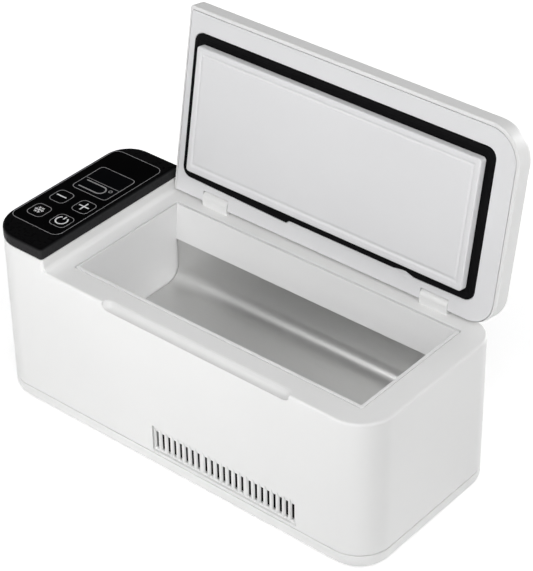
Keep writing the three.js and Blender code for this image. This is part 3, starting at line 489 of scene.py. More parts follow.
def makeFloor(setUp):
    half = setUp["floorSize"] / 2
    floor = meshObject("floor", block(-half, half, -half, half, -setUp["floorThickness"], 0))
    material, tree, shader, at = startFinish("paleFloor")
    grain = spread(tree, addNoise(tree, at, setUp["floorGrain"]), 0, 1)
    base = blendColours(tree, grain, setUp["floorColour"], setUp["floorTint"])
    link(tree, base, shader.inputs["Base Color"])
    shader.inputs["Roughness"].default_value = setUp["floorRoughness"]
    shader.inputs["Specular IOR Level"].default_value = setUp["floorSpecular"]
    # white to the eye: less lift close by, where the object's shadow lies
    away = tree.nodes.new("ShaderNodeVectorMath")
    away.operation = "LENGTH"
    link(tree, at, away.inputs[0])
    amount = spread(tree, away.outputs["Value"], *setUp["floorLift"], *setUp["liftReach"])
    lift = tree.nodes.new("ShaderNodeEmission")
    link(tree, joinValues(tree, "MULTIPLY", seenShare(tree), amount), lift.inputs["Strength"])
    both = tree.nodes.new("ShaderNodeAddShader")
    link(tree, shader.outputs[0], both.inputs[0])
    link(tree, lift.outputs[0], both.inputs[1])
    link(tree, both.outputs[0], tree.nodes["Material Output"].inputs["Surface"])
    floor.data.materials.append(material)


def makeWorld(setUp):
    # mirrors show a white horizon and a darker ceiling, and matt surfaces get the surround
    world = bpy.data.worlds.new("surround")
    bpy.context.scene.world = world
    world.use_nodes = True
    tree = world.node_tree
    upward = splitAxes(tree, tree.nodes.new("ShaderNodeTexCoord").outputs["Generated"])["Z"]
    sky = spread(tree, upward, 1, setUp["ceiling"], *setUp["ceilingRise"])
    mirrored = joinValues(tree, "MULTIPLY", seenShare(tree), sky)
    light = tree.nodes["Background"]
    light.inputs["Color"].default_value = (1, 1, 1, 1)
    link(tree, joinValues(tree, "MAXIMUM", mirrored, setUp["surround"]), light.inputs["Strength"])


def makeLamps(setUp):
    for name, lamp in setUp["lamps"].items():
        data = bpy.data.lights.new(name, "AREA")
        data.size = lamp["size"]
        data.energy = lamp["power"]
        obj = bpy.data.objects.new(name, data)
        obj.location = lamp["from"]
        obj.rotation_euler = (Vector(setUp["lampAim"]) - obj.location).to_track_quat("-Z", "Y").to_euler()
        bpy.context.scene.collection.objects.link(obj)


makeFloor(studio)
makeWorld(studio)
makeLamps(studio)
print("camera and studio made")

# white case: main box with its deck, the tower under the key panel, knuckles and openings
housing = {"frontCorner": 18 * mm, "backCorner": 14.5 * mm, "cornerSteps": 18, "edgeRound": 1.3 * mm,
           "seamRound": 0.4 * mm, "wall": 3 * mm, "towerWall": 3.2 * mm, "towerFillet": 2.5 * mm,
           "filletSteps": 8, "towerCorner": 1.6 * mm, "tuck": 12 * mm, "inletRadius": 5.3 * mm}
scoop = {"depth": 3.8 * mm, "reach": 3.4 * mm, "end": 4.5 * mm, "endSteps": 9, "columns": 10,
         "sweep": 75, "sweepSteps": 10, "turn": 0.9 * mm, "turnSteps": 4}
knuckle = {"foot": 7.85 * mm, "top": 7.8 * mm, "radius": 3.4 * mm, "inset": 0.3 * mm,
           "firstRise": 0.02, "riseSteps": 7, "arcSteps": 12}
mouth = {"edgeRound": 0.3 * mm, "corner": 1.2 * mm, "rearGap": 1.0 * mm, "leftGap": 0.65 * mm,
         "rightGap": 0.15 * mm}


def caseOutline(inset):
    front, back = housing["frontCorner"] - inset, housing["backCorner"] - inset
    return roundedRect(leftX + inset, rightX - inset, frontY + inset, backY - inset,
                       (front, back, back, front), housing["cornerSteps"])


def towerOutline(inset):
    front, back = housing["frontCorner"] - inset, housing["backCorner"] - inset
    side = housing["towerCorner"] - inset
    return roundedRect(leftX + inset, towerX - inset, frontY + inset, backY - inset,
                       (side, side, back, front), housing["cornerSteps"])


def scoopProfile(setUp):
    # pairs (reach, drop): a concave groove from the lip and a soft turn onto the deck
    depth, reach = setUp["depth"], setUp["reach"]
    angles = turnSteps(0, setUp["sweep"], setUp["sweepSteps"])
    points = [(reach * math.sin(a), depth * math.cos(a)) for a in angles]
    start, last = points[-1], angles[-1]
    corner = start[0] + start[1] * reach * math.cos(last) / (depth * math.sin(last))
    for i in range(setUp["turnSteps"]):
        share = (i + 1) / setUp["turnSteps"]
        rest = 1 - share
        along = rest * rest * start[0] + 2 * share * rest * corner + share * share * (corner + setUp["turn"])
        points.append((along, rest * rest * start[1]))
    return points


def mainBox(setUp, dip):
    # the front edge dips into a finger scoop with rounded ends
    front, back, steps = setUp["frontCorner"], setUp["backCorner"], setUp["cornerSteps"]
    startX = towerX - setUp["tuck"]
    ends = [drawn for drawn, risen in quarter(dip["end"], dip["endSteps"])]
    columns = ([startX, towerX, (towerX + scoopX0) / 2] + [scoopX0 + u for u in ends]
               + [scoopX0 + scoopLength * i / dip["columns"] for i in range(1, dip["columns"])]
               + [scoopX1 - u for u in reversed(ends)] + [(scoopX1 + rightX - front) / 2])

    def ring(inset, z, scoopInset, scoopZ):
        points = []
        for x in columns:
            along = min(max(min(x - scoopX0, scoopX1 - x) / dip["end"], 0), 1)
            share = math.sqrt(1 - (1 - along) ** 2)
            points.append((x, frontY + inset + (scoopInset - inset) * share, z + (scoopZ - z) * share))
        rest = (arcPoints(rightX - front, frontY + front, front - inset, -90, 0, steps)
                + arcPoints(rightX - back, backY - back, back - inset, 0, 90, steps)
                + [(startX, backY - inset)])
        return points + [(x, y, z) for x, y in rest]

    rings = [ring(drawn, z, drawn, z) for drawn, z in lowEdge(setUp["seamRound"], housingZ, seamSteps)]
    hollow = scoopProfile(dip)
    for (drawn, z), (along, drop) in zip(highEdge(setUp["edgeRound"], deckZ, len(hollow) - 1), hollow):
        rings.append(ring(drawn, z, along, deckZ - drop))
    return loft(rings)


def towerBlock(setUp):
    soft = setUp["seamRound"]
    ends = lowEdge(soft, housingZ, seamSteps) + highEdge(soft, towerZ, seamSteps)
    return levelLoft(towerOutline, ends)


def towerFilletBar(setUp):
    radius = setUp["towerFillet"]
    section = ([(towerX - spill, deckZ - spill), (towerX + radius, deckZ - spill)]
               + arcPoints(towerX + radius, deckZ + radius, radius, 270, 180, setUp["filletSteps"])
               + [(towerX - spill, deckZ + radius)])
    ends = (backY - setUp["edgeRound"], frontY + setUp["edgeRound"])
    return loft([[(x, y, z) for x, z in section] for y in ends])


def hingeHump(x, setUp):
    # hump along the hinge line with soft shoulders, flat where it meets the back wall
    height, radius, steps = hingeAxis.z - deckZ, setUp["radius"], setUp["riseSteps"]
    rearY = backY - setUp["inset"]
    stations = [(setUp["firstRise"], setUp["foot"])]
    for i in range(1, steps + 1):
        offset = setUp["foot"] + (setUp["top"] - setUp["foot"]) * i / steps
        stations.append((0.5 - 0.5 * math.cos(math.pi * i / steps), offset))
    stations = [(share, -offset) for share, offset in stations] + list(reversed(stations))
    rings = []
    for share, offset in stations:
        topZ = (height + radius) * share
        section = [(radius * math.cos(a), max(topZ - radius, 0) + min(radius, topZ) * math.sin(a))
                   for a in turnSteps(0, 180, setUp["arcSteps"])]
        section = [(radius, -spill)] + section + [(-radius, -spill)]
        rings.append([(x + offset, min(hingeAxis.y + y, rearY), deckZ + z) for y, z in section])
    return loft(rings)


def mouthShape(setUp):
    # wider gaps along the hinge side and the left end, where the liner's rim is thin
    def outline(inset):
        thin, full = thinRim - inset, linerWall - inset
        return aroundWell(thin + setUp["leftGap"], full + setUp["rightGap"], full + fitGap,
                          thin + setUp["rearGap"], setUp["corner"] - inset)

    soft = setUp["edgeRound"]
    flare = [(-drawn, deckZ - soft + risen) for drawn, risen in quarter(soft, lipSteps, flareEnd)]
    flare = [(0, deckZ - 2 * deckThickness)] + flare + [(flare[-1][0], deckZ + spill)]
    return levelLoft(outline, flare)


def buildHousing(setUp):
    wall, inner, inlet = setUp["wall"], setUp["towerWall"], setUp["inletRadius"]
    obj = meshObject("upperHousing", mainBox(setUp, scoop))
    weld(obj, towerBlock(setUp))
    weld(obj, towerFilletBar(setUp))
    for x in hingeXs:
        weld(obj, hingeHump(x, knuckle))
    cut(obj, levelLoft(caseOutline, [(wall, housingZ - spill), (wall, deckZ - deckThickness)]))
    cut(obj, levelLoft(towerOutline, [(inner, deckZ - 3 * deckThickness), (inner, towerZ + spill)]))
    cut(obj, mouthShape(mouth))
    cut(obj, block(ventX0, ventX1, frontY - spill, frontY + wall + spill, ventZ0, ventZ1))
    socket = middle("dc_socket")
    cut(obj, lathe((socket.x, backY, socket.z), [(inlet, -2 * wall), (inlet, spill)], "Y"))
    place(obj, "case", "housingShell", ["upper_housing"])


buildHousing(housing)
print("housing made")

# bottom tray with its rounded underside, air slots, foot seats and screw holes
baseTray = {"edgeRound": 6 * mm, "edgeSteps": 10, "seamRound": 0.4 * mm, "seamGap": 0.5 * mm,
            "wall": 3.3 * mm, "floor": 2.6 * mm, "slots": 9, "slotWidth": 2.4 * mm, "slotPitch": 5.2 * mm,
            "slotField": 27.6 * mm, "screwHole": 3.1 * mm, "footSeat": 0.8 * mm}


def intakeSlots(setUp, low, high):
    # slots side by side in a round field under the fan
    fan, radius = middle("fan_frame"), setUp["slotWidth"] / 2
    bm = bmesh.new()
    for i in range(setUp["slots"]):
        y = (i - (setUp["slots"] - 1) / 2) * setUp["slotPitch"]
        half = math.sqrt(setUp["slotField"] ** 2 - y ** 2) - setUp["slotWidth"]
        slotY = fan.y + y
        outline = roundedRect(fan.x - half, fan.x + half, slotY - radius, slotY + radius, (radius,) * 4)
        prism(outline, low, high, bm)
    return bm


def buildBase(setUp):
    low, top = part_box("base_cover")[0].z, housingZ - setUp["seamGap"]
    edge, inner, floorZ = setUp["edgeRound"], setUp["wall"], low + setUp["floor"]
    rim = lowEdge(edge, low, setUp["edgeSteps"]) + highEdge(setUp["seamRound"], top, seamSteps)
    obj = meshObject("baseTray", levelLoft(caseOutline, rim))
    cut(obj, levelLoft(caseOutline, [(inner + edge / 2, floorZ), (inner, low + edge), (inner, top + spill)]))
    cut(obj, intakeSlots(setUp, low - spill, floorZ + spill))
    bm = bmesh.new()
    for corner in cornerNames:
        foot, screw = middle("foot_" + corner), middle("base_screw_" + corner)
        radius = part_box("foot_" + corner)[1].x - foot.x + fitGap
        lathe((foot.x, foot.y, low), [(radius, -spill), (radius, setUp["footSeat"])], bm=bm)
        hole = [(setUp["screwHole"], -spill), (setUp["screwHole"], setUp["floor"] + spill)]
        lathe((screw.x, screw.y, low), hole, bm=bm)
    cut(obj, bm)
    place(obj, "case", "whiteShell", ["base_cover"])


buildBase(baseTray)

# slotted air outlet in the front wall, with a dark sheet behind it as painted shade in the slots
airGrille = {"slotWidth": 1.4 * mm, "slotHeight": 9.6 * mm, "slotLow": 0.75 * mm, "slotPitch": 3.68 * mm,
             "groups": (8, 7, 8), "groupGap": 0.9 * mm, "slotShift": -0.8 * mm, "flareSide": 0.6 * mm,
             "flareTop": 2.8 * mm, "flareLow": 0.4 * mm, "flareDepth": 0.75 * mm, "setBack": 0.7 * mm,
             "flange": 1.2 * mm, "flangeLap": 0.6 * mm, "face": 1.0 * mm, "side": 0.6 * mm,
             "edgeGap": 0.05 * mm, "soft": 0.1 * mm, "shadeSheetDepth": 2.7 * mm, "shadeSheet": 0.3 * mm}


def flaredSlot(bm, setUp, x, z0, faceY):
    # a slot that widens towards the front, most of all at its upper end
    half, z1, inside = setUp["slotWidth"] / 2, z0 + setUp["slotHeight"], setUp["face"] + spill
    wide, low, high = half + setUp["flareSide"], z0 - setUp["flareLow"], z1 + setUp["flareTop"]
    front = [(x - wide, low), (x + wide, low), (x + wide, high), (x - wide, high)]
    inner = [(x - half, z0), (x + half, z0), (x + half, z1), (x - half, z1)]
    stations = [(front, -spill), (front, 0), (inner, setUp["flareDepth"]), (inner, inside)]
    loft([[(px, faceY + depth, pz) for px, pz in outline] for outline, depth in stations], bm)


def slotRow(setUp, centreX, z0, faceY):
    groups, pitch = setUp["groups"], setUp["slotPitch"]
    span = (sum(groups) - 1) * pitch + (len(groups) - 1) * setUp["groupGap"]
    x = centreX - span / 2 + setUp["slotShift"]
    bm = bmesh.new()
    for group in groups:
        for _ in range(group):
            flaredSlot(bm, setUp, x, z0, faceY)
            x += pitch
        x += setUp["groupGap"]
    return bm


def buildGrille(setUp):
    low, high, gap = grilleLow, grilleHigh, setUp["edgeGap"]
    x0, x1, z0, z1 = ventX0 + gap, ventX1 - gap, ventZ0 + gap, ventZ1 - gap
    faceY, innerY = low.y + setUp["setBack"], high.y - setUp["flange"]
    obj = meshObject("airGrille", block(x0, x1, faceY, innerY + setUp["flangeLap"], z0, z1))
    weld(obj, block(low.x, high.x, innerY, high.y, low.z, high.z))
    inX0, inX1, inZ0, inZ1 = x0 + setUp["side"], x1 - setUp["side"], z0 + setUp["side"], z1 - setUp["side"]
    cut(obj, block(inX0, inX1, faceY + setUp["face"], high.y + spill, inZ0, inZ1))
    cut(obj, slotRow(setUp, (x0 + x1) / 2, z0 + setUp["slotLow"], faceY))
    soften(obj, setUp["soft"])
    place(obj, "case", "whiteShell", ["vent_grille"])
    # painted shade: a dark sheet behind the slots stands in for the shade inside
    shadeSheetY = low.y + setUp["shadeSheetDepth"]
    shadeSheet = meshObject("slotShadeSheet", block(inX0, inX1, shadeSheetY, shadeSheetY + setUp["shadeSheet"], inZ0, inZ1))
    soften(shadeSheet, setUp["soft"])
    place(shadeSheet, "case", "sealRubber", ["vent_grille"])


buildGrille(airGrille)
print("base and grille made")

# white collar of the well; its end walls run down beside the metal trough
wellLiner = {"rimRound": 0.3 * mm, "rimSteps": 5, "innerRound": 0.35 * mm, "corner": 0.5 * mm,
             "outerCorner": 1.0 * mm, "lapGap": 0.05 * mm, "flange": 3 * mm, "flangeThickness": 1.6 * mm,
             "flangeCorner": 3.6 * mm}


def innerFlare(setUp, collarZ):
    # the long sides lean in until they cover the metal's upper edge
    lean, soft = metalWall + fitGap + setUp["lapGap"], setUp["innerRound"]
    flare = [(0, lean, collarZ - spill), (0, lean, collarZ)]
    flare += [(-drawn, -drawn, deckZ - soft + risen) for drawn, risen in quarter(soft, lipSteps, flareEnd)]
    flare += [(*flare[-1][:2], deckZ + spill)]
    return loft([[(x, y, z) for x, y in aroundWell(-across, -across, -along, -along, setUp["corner"])]
                 for across, along, z in flare])


def buildLiner(setUp):
    collarZ, flangeZ = troughHigh.z + metalLift + setUp["lapGap"], deckZ - deckThickness

    def rimOutline(inset):
        thin, full = thinRim - inset, linerWall - inset
        return aroundWell(thin, full, full, thin, setUp["outerCorner"] - inset)

    rim = [(0, collarZ)] + highEdge(setUp["rimRound"], deckZ, setUp["rimSteps"])
    obj = meshObject("wellLiner", levelLoft(rimOutline, rim))
    flange = aroundWell(*[linerWall + setUp["flange"]] * 4, setUp["flangeCorner"])
    weld(obj, prism(flange, flangeZ - setUp["flangeThickness"], flangeZ))
    cut(obj, innerFlare(setUp, collarZ))
    for x in (wellX0 - linerWall, wellX1):
        weld(obj, block(x, x + linerWall, wellY0, wellY1, linerLow.z, collarZ + spill))
    place(obj, "case", "whiteSatin", ["liner_frame"])


buildLiner(wellLiner)

# bent aluminium trough
trough = {"fillet": 8 * mm, "filletSteps": 16, "lipRound": 0.5 * mm, "endGap": 0.25 * mm}


def buildTrough(setUp):
    y0, y1, bottom, top = troughLow.y, troughHigh.y, troughLow.z, troughHigh.z + metalLift
    inner, outer, raised = setUp["fillet"], setUp["fillet"] + metalWall, bottom + metalLift
    steps, lip = setUp["filletSteps"], setUp["lipRound"]
    outside = ([(y0, top - lip)] + arcPoints(y0 + outer, bottom + outer, outer, 180, 270, steps)
               + arcPoints(y1 - outer, bottom + outer, outer, 270, 360, steps) + [(y1, top - lip)])
    inside = (arcPoints(y1 - outer, raised + outer, inner, 360, 270, steps)
              + arcPoints(y0 + outer, raised + outer, inner, 270, 180, steps))
    section = (outside + [(y1 - lip, top), (y1 - metalWall, top)] + inside
               + [(y0 + metalWall, top), (y0 + lip, top)])
    ends = (troughLow.x + setUp["endGap"], troughHigh.x - setUp["endGap"])
    obj = meshObject("coldTrough", loft([[(x, y, z) for y, z in section] for x in ends]))
    place(obj, "case", "troughMetal", ["cold_trough"])


buildTrough(trough)
print("well made")

# black cap of the tower, the sheet on it, the display and the keys
keyCap = {"edgeRound": 1.5 * mm, "edgeSteps": 8, "lowRound": 0.3 * mm, "tongue": 2.5 * mm,
          "wall": 3.3 * mm, "tongueWall": 1.4 * mm, "skin": 2 * mm, "sheetCorner": 4 * mm,
          "sheetGap": 0.1 * mm, "lensLedge": 1.5 * mm, "lensCorner": 2.0 * mm, "lensEdge": 0.12 * mm,
          "lensEdgeShare": 0.3}
keySet = {"corner": 2.2 * mm, "leastCorner": 0.2 * mm, "flange": 0.6 * mm, "gap": 0.25 * mm,
          "edgeRound": 0.28 * mm, "flangeTop": 0.15 * mm, "flangeLow": 0.95 * mm, "stem": 1.6 * mm,
          "stemSteps": 24}


def keyArea(name):
    low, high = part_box("key_" + name)
    flange = Vector((keySet["flange"], keySet["flange"], 0))
    return low + flange, high - flange


def keyHoles(setUp, z0, z1):
    bm = bmesh.new()
    for name in keyNames:
        prism(areaOutline(*keyArea(name), setUp["corner"] + setUp["gap"], setUp["gap"]), z0, z1, bm)
    return bm


def buildCap(setUp):
    capZ, overZ, tongueZ = towerZ + fitGap, lidTopZ + spill, towerZ - setUp["tongue"]
    wall, inner, gap = setUp["wall"], setUp["wall"] + setUp["tongueWall"], setUp["sheetGap"]
    rim = lowEdge(setUp["lowRound"], capZ, seamSteps)
    rim += highEdge(setUp["edgeRound"], lidTopZ, setUp["edgeSteps"])
    obj = meshObject("keyCap", levelLoft(towerOutline, rim))
    weld(obj, levelLoft(towerOutline, [(wall, tongueZ), (wall, capZ + spill)]))
    cut(obj, levelLoft(towerOutline, [(inner, tongueZ - spill), (inner, lidTopZ - setUp["skin"])]))
    cut(obj, prism(areaOutline(sheetLow, sheetHigh, setUp["sheetCorner"], gap), sheetLow.z, overZ))
    cut(obj, prism(areaOutline(lensLow, lensHigh, setUp["lensCorner"], gap), lensLow.z, overZ))
    cut(obj, prism(areaOutline(lensLow, lensHigh, setUp["lensCorner"], -setUp["lensLedge"]), capZ, overZ))
    cut(obj, keyHoles(keySet, capZ, overZ))
    place(obj, "case", "blackCap", ["control_cap"])


def buildSheet(setUp):
    underZ, overZ = sheetLow.z - spill, sheetHigh.z + spill
    sheet = areaOutline(sheetLow, sheetHigh, setUp["sheetCorner"])
    obj = meshObject("panelSheet", prism(sheet, sheetLow.z, sheetHigh.z))
    cut(obj, prism(areaOutline(lensLow, lensHigh, setUp["lensCorner"], setUp["sheetGap"]), underZ, overZ))
    cut(obj, keyHoles(keySet, underZ, overZ))
    place(obj, "case", "blackGloss", ["panel_overlay"])


def buildLens(setUp):
    def outline(inset):
        return areaOutline(lensLow, lensHigh, setUp["lensCorner"] - inset, -inset)

    soft, part = setUp["lensEdge"], setUp["lensEdgeShare"] * setUp["lensEdge"]
    profile = [(0, lensLow.z), (0, lensHigh.z - soft), (part, lensHigh.z - part), (soft, lensHigh.z)]
    lens = meshObject("displayLens", levelLoft(outline, profile))
    place(lens, "case", "smokedLens", ["display_window"])


def buildKey(name, setUp):
    node = "key_" + name
    low, high = keyArea(name)
    underZ, centre = lidTopZ - keyCap["skin"], middle(node)

    def outline(inset):
        return areaOutline(low, high, max(setUp["corner"] - inset, setUp["leastCorner"]), -inset)

    profile = [(0, underZ)] + highEdge(setUp["edgeRound"], high.z, lipSteps)
    obj = meshObject("key" + name.capitalize(), levelLoft(outline, profile))
    flange = areaOutline(*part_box(node), setUp["corner"])
    weld(obj, prism(flange, underZ - setUp["flangeLow"], underZ - setUp["flangeTop"]))
    stem = [(setUp["stem"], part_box(node)[0].z), (setUp["stem"], underZ)]
    weld(obj, lathe((centre.x, centre.y, 0), stem, steps=setUp["stemSteps"]))
    place(obj, node, "blackGloss", [node])


buildCap(keyCap)
buildSheet(keyCap)
buildLens(keyCap)
for keyName in keyNames:
    buildKey(keyName, keySet)
print("key panel made")

# white print on the sheet and keys: outlines and plain symbols
panelPrint = {"thickness": 0.03 * mm, "sunk": 0.03 * mm, "borderWidth": 0.3 * mm, "borderOut": 0.4 * mm,
              "keyWidth": 0.34 * mm, "keyOut": 0.62 * mm, "lensOut": 0.46 * mm}
# the gauge's places are shares of the display's width and depth
gauge = {"lineAt": 0.47, "lineInset": 0.3 * mm, "barStart": 0.1, "bendAt": (0.62, 0.25), "bend": 0.14,
         "bendSteps": 16, "barWidth": 0.78 * mm, "ringAt": (0.86, 0.34), "ring": (1.1 * mm, 0.7 * mm),
         "ringSteps": 24}
keySigns = {"width": 0.78 * mm, "reach": 3.1 * mm, "powerRadius": 3.0 * mm, "powerOpening": 35,
            "powerSteps": 48, "powerStroke": (0.35, 1.15), "flakeWidth": 0.45, "flakeReach": 0.9,
            "forkAt": 0.5, "forkReach": 0.34, "forkTurn": 50}


def flatRing(bm, outer, inner, z0, z1):
    levels = ((outer, z0), (outer, z1), (inner, z1), (inner, z0))
    loft([[(x, y, z) for x, y in outline] for outline, z in levels], bm, closed=True)


def ribbon(path, width, z0, z1, bm=None):
    # flat strip along an open path
    left, right = [], []
    for i, point in enumerate(path):
        before, after = Vector(path[max(i - 1, 0)]), Vector(path[min(i + 1, len(path) - 1)])
        along = (after - before).normalized()
        side = Vector((-along.y, along.x)) * width / 2
        left.append(Vector(point) + side)
        right.append(Vector(point) - side)
    return prism([tuple(p) for p in right + list(reversed(left))], z0, z1, bm)


def printLevels(top):
    return top - panelPrint["sunk"], top + panelPrint["thickness"]


def outlineBand(bm, low, high, corner, out, width):
    outer = areaOutline(low, high, corner + out, out)
    inner = areaOutline(low, high, corner + out - width, out - width)
    flatRing(bm, outer, inner, *printLevels(sheetHigh.z))


def buildSheetPrint(setUp):
    bm = bmesh.new()
    outlineBand(bm, sheetLow, sheetHigh, keyCap["sheetCorner"], setUp["borderOut"], setUp["borderWidth"])
    outlineBand(bm, lensLow, lensHigh, keyCap["lensCorner"], setUp["lensOut"], setUp["keyWidth"])
    for name in keyNames:
        outlineBand(bm, *keyArea(name), keySet["corner"], setUp["keyOut"], setUp["keyWidth"])
    place(meshObject("outlinePrint", bm), "case", "lineInk")


def buildReadOut(setUp):
    # plain level gauge: a thin line, an open bar and a small ring
    levels = printLevels(lensHigh.z)
    wide, deep = lensHigh.x - lensLow.x, lensHigh.y - lensLow.y
    bm = bmesh.new()
    lineY, inset = lensLow.y + setUp["lineAt"] * deep, setUp["lineInset"]
    ribbon([(lensLow.x + inset, lineY), (lensHigh.x - inset, lineY)], panelPrint["borderWidth"], *levels, bm)
    (bendX, bendY), (ringX, ringY) = [(lensLow.x + u * wide, lensLow.y + v * deep)
                                      for u, v in (setUp["bendAt"], setUp["ringAt"])]
    startX, radius = lensLow.x + setUp["barStart"] * wide, setUp["bend"] * deep
    bend = arcPoints(bendX, bendY, radius, 90, -90, setUp["bendSteps"])
    bar = [(startX, bendY + radius)] + bend + [(startX, bendY - radius)]
    ribbon(bar, setUp["barWidth"], *levels, bm)
    outer, inner = [circlePoints(ringX, ringY, r, setUp["ringSteps"]) for r in setUp["ring"]]
    flatRing(bm, outer, inner, *levels)
    place(meshObject("readOutPrint", bm), "case", "lineInk")


def signStrokes(name, centre, setUp):
    reach = setUp["reach"]

    def away(turn, share, start=(centre.x, centre.y)):
        angle = math.radians(turn)
        return start[0] + share * reach * math.cos(angle), start[1] + share * reach * math.sin(angle)

    if name == "minus":
        return [[away(0, -1), away(0, 1)]]
    if name == "plus":
        return [[away(0, -1), away(0, 1)], [away(90, -1), away(90, 1)]]
    if name == "power":
        start, end = 90 + setUp["powerOpening"], 450 - setUp["powerOpening"]
        ring = arcPoints(centre.x, centre.y, setUp["powerRadius"], start, end, setUp["powerSteps"])
        return [ring, [away(90, share) for share in setUp["powerStroke"]]]
    # snowflake: three strokes across, with a fork near each end
    strokes = []
    for turn in range(0, 360, 60):
        if turn < 180:
            strokes.append([away(turn, -setUp["flakeReach"]), away(turn, setUp["flakeReach"])])
        fork = away(turn, setUp["forkAt"])
        for side in (turn - setUp["forkTurn"], turn + setUp["forkTurn"]):
            strokes.append([fork, away(side, setUp["forkReach"], fork)])
    return strokes


def buildKeySign(name, setUp):
    low, high = keyArea(name)
    width = setUp["width"] * (setUp["flakeWidth"] if name == "set" else 1)
    sign = None
    for stroke in signStrokes(name, (low + high) / 2, setUp):
        strip = ribbon(stroke, width, *printLevels(high.z))
        if sign:
            weld(sign, strip)
        else:
            sign = meshObject("keyPrint" + name.capitalize(), strip)
    place(sign, "key_" + name, "iconInk")


buildSheetPrint(panelPrint)
buildReadOut(gauge)
for keyName in keyNames:
    buildKeySign(keyName, keySigns)
print("print made")

# lid: outer shell, inner plate, raised pad and rubber seal
lidSet = {"sideGap": 1.2 * mm, "inset": 0.3 * mm, "leftCorner": 1.5 * mm, "edgeRound": 4.4 * mm,
          "edgeSteps": 12, "rimRound": 0.5 * mm, "rim": 2 * mm, "rimLeft": 1.0 * mm, "rimInner": 0.3 * mm,
          "skin": 2.2 * mm, "plate": 2.6 * mm, "plateRound": 0.3 * mm, "plateBack": 0.05 * mm,
          "plateGap": 0.24 * mm, "plateCorner": 0.3 * mm, "notchHalf": 8.0 * mm, "notchReach": 3.65 * mm,
          "notchCorner": 0.5 * mm, "notchRise": 3.7 * mm}
lidPad = {"inset": 1.93 * mm, "back": 0.5 * mm, "depth": 5 * mm, "corner": 1.6 * mm,
          "leastCorner": 0.4 * mm, "band": 3.5 * mm, "bandBack": 1.25, "neck": 1.8 * mm,
          "edgeRound": 0.7 * mm, "edgeSteps": 6, "sharp": 35, "grooveHalf": 1.2 * mm,
          "grooveDepth": 0.35 * mm, "grooveSteps": 12}
# bulge: how far the hinge side of the strip stands out or in along the lid, up to where its ends meet
lidSeal = {"overlap": 2.85 * mm, "width": 5.6 * mm, "corner": 5 * mm, "leastCorner": 0.7 * mm,
           "proud": 0.7 * mm, "seat": 1.2 * mm, "edgeRound": 0.6 * mm, "shift": -0.6 * mm,
           "ditchFrom": 0.36, "ditchTo": 0.41, "ditchDepth": 0.18 * mm, "bulgeFade": 2.5 * mm,
           "bulge": [(69 * mm, 0.35 * mm), (64.5 * mm, -1.0 * mm), (62.5 * mm, -1.0 * mm),
                     (57 * mm, -0.1 * mm), (-4.8 * mm, -0.1 * mm), (-6.8 * mm, 1.35 * mm),
                     (-58 * mm, 0.15 * mm)]}


def lidRect(left, reach, back, leftCorner):
    # outline of the closed lid, drawn in at its left end, its hinge side and elsewhere
    corners = (housing["frontCorner"] - reach, housing["backCorner"] - reach, leftCorner, leftCorner)
    return roundedRect(towerX + lidSet["sideGap"] + left, rightX - reach, frontY + reach, backY - back,
                       corners, housing["cornerSteps"])


def lidOutline(inset):
    reach = lidSet["inset"] + inset
    return lidRect(inset, reach, reach, lidSet["leftCorner"] - inset)


def plateOutline(inset):
    # the inner plate reaches the shell's edge on the hinge side and keeps a rim elsewhere
    back = lidSet["inset"] + lidSet["plateBack"] + inset
    corner = max(lidSet["leftCorner"] - inset, lidSet["plateCorner"])
    return lidRect(lidSet["rimLeft"] + inset, lidSet["inset"] + lidSet["rim"] + inset, back, corner)


def sealOutline(inset):
    margin, shift = lidSeal["overlap"] - inset, lidSeal["shift"]
    corner = max(lidSeal["corner"] - inset, lidSeal["leastCorner"])
    around = aroundWell(margin - shift, margin + shift, margin, margin, corner)
    share = max(0, 1 - inset / lidSeal["bulgeFade"])
    bulge = [(x, wellY1 + margin + out * share) for x, out in lidSeal["bulge"]]
    half = len(around) // 2
    return around[:half] + bulge + around[half:]


def hingeNotches(setUp):
    half, frontSide = setUp["notchHalf"], hingeAxis.y - setUp["notchReach"]
    corners = (setUp["notchCorner"], 0, 0, setUp["notchCorner"])
    bm = bmesh.new()
    for x in hingeXs:
        outline = roundedRect(x - half, x + half, frontSide, backY + spill, corners)
        prism(outline, lidZ - spill, hingeAxis.z + setUp["notchRise"], bm)
    return bm


def buildLidShell(setUp):
    rim, inner, plateZ = setUp["rim"], setUp["rimInner"], lidZ + setUp["plate"]
    profile = lowEdge(setUp["rimRound"], lidZ, lipSteps)
    profile += highEdge(setUp["edgeRound"], lidTopZ, setUp["edgeSteps"])
    obj = meshObject("lidShell", levelLoft(lidOutline, profile))
    cut(obj, levelLoft(lidOutline, [(rim, plateZ), (rim, lidTopZ - setUp["skin"])]))
    seat = [(-drawn, lidZ + inner - risen) for drawn, risen in quarter(inner, seamSteps, flareEnd)]
    seat = [(seat[-1][0], lidZ - spill)] + list(reversed(seat)) + [(0, plateZ + fitGap)]
    cut(obj, levelLoft(plateOutline, seat))
    cut(obj, hingeNotches(setUp))
    place(obj, "lid", "whiteShell", ["lid_shell"], lidOpen)


def buildLidPlate(setUp):
    gap, seatZ = setUp["plateGap"], lidZ + lidSeal["seat"] + fitGap
    profile = [(gap + drawn, z) for drawn, z in lowEdge(setUp["plateRound"], lidZ, seamSteps)]
    obj = meshObject("lidPlate", levelLoft(plateOutline, profile + [(gap, lidZ + setUp["plate"])]))
    outer, inner = -fitGap, lidSeal["width"] + fitGap
    channel = [(outer, lidZ - spill), (outer, seatZ), (inner, seatZ), (inner, lidZ - spill)]
    cut(obj, levelLoft(sealOutline, channel, closed=True))
    cut(obj, hingeNotches(setUp))
    place(obj, "lid", "lidSatin", ["lid_inner_panel"], lidOpen)


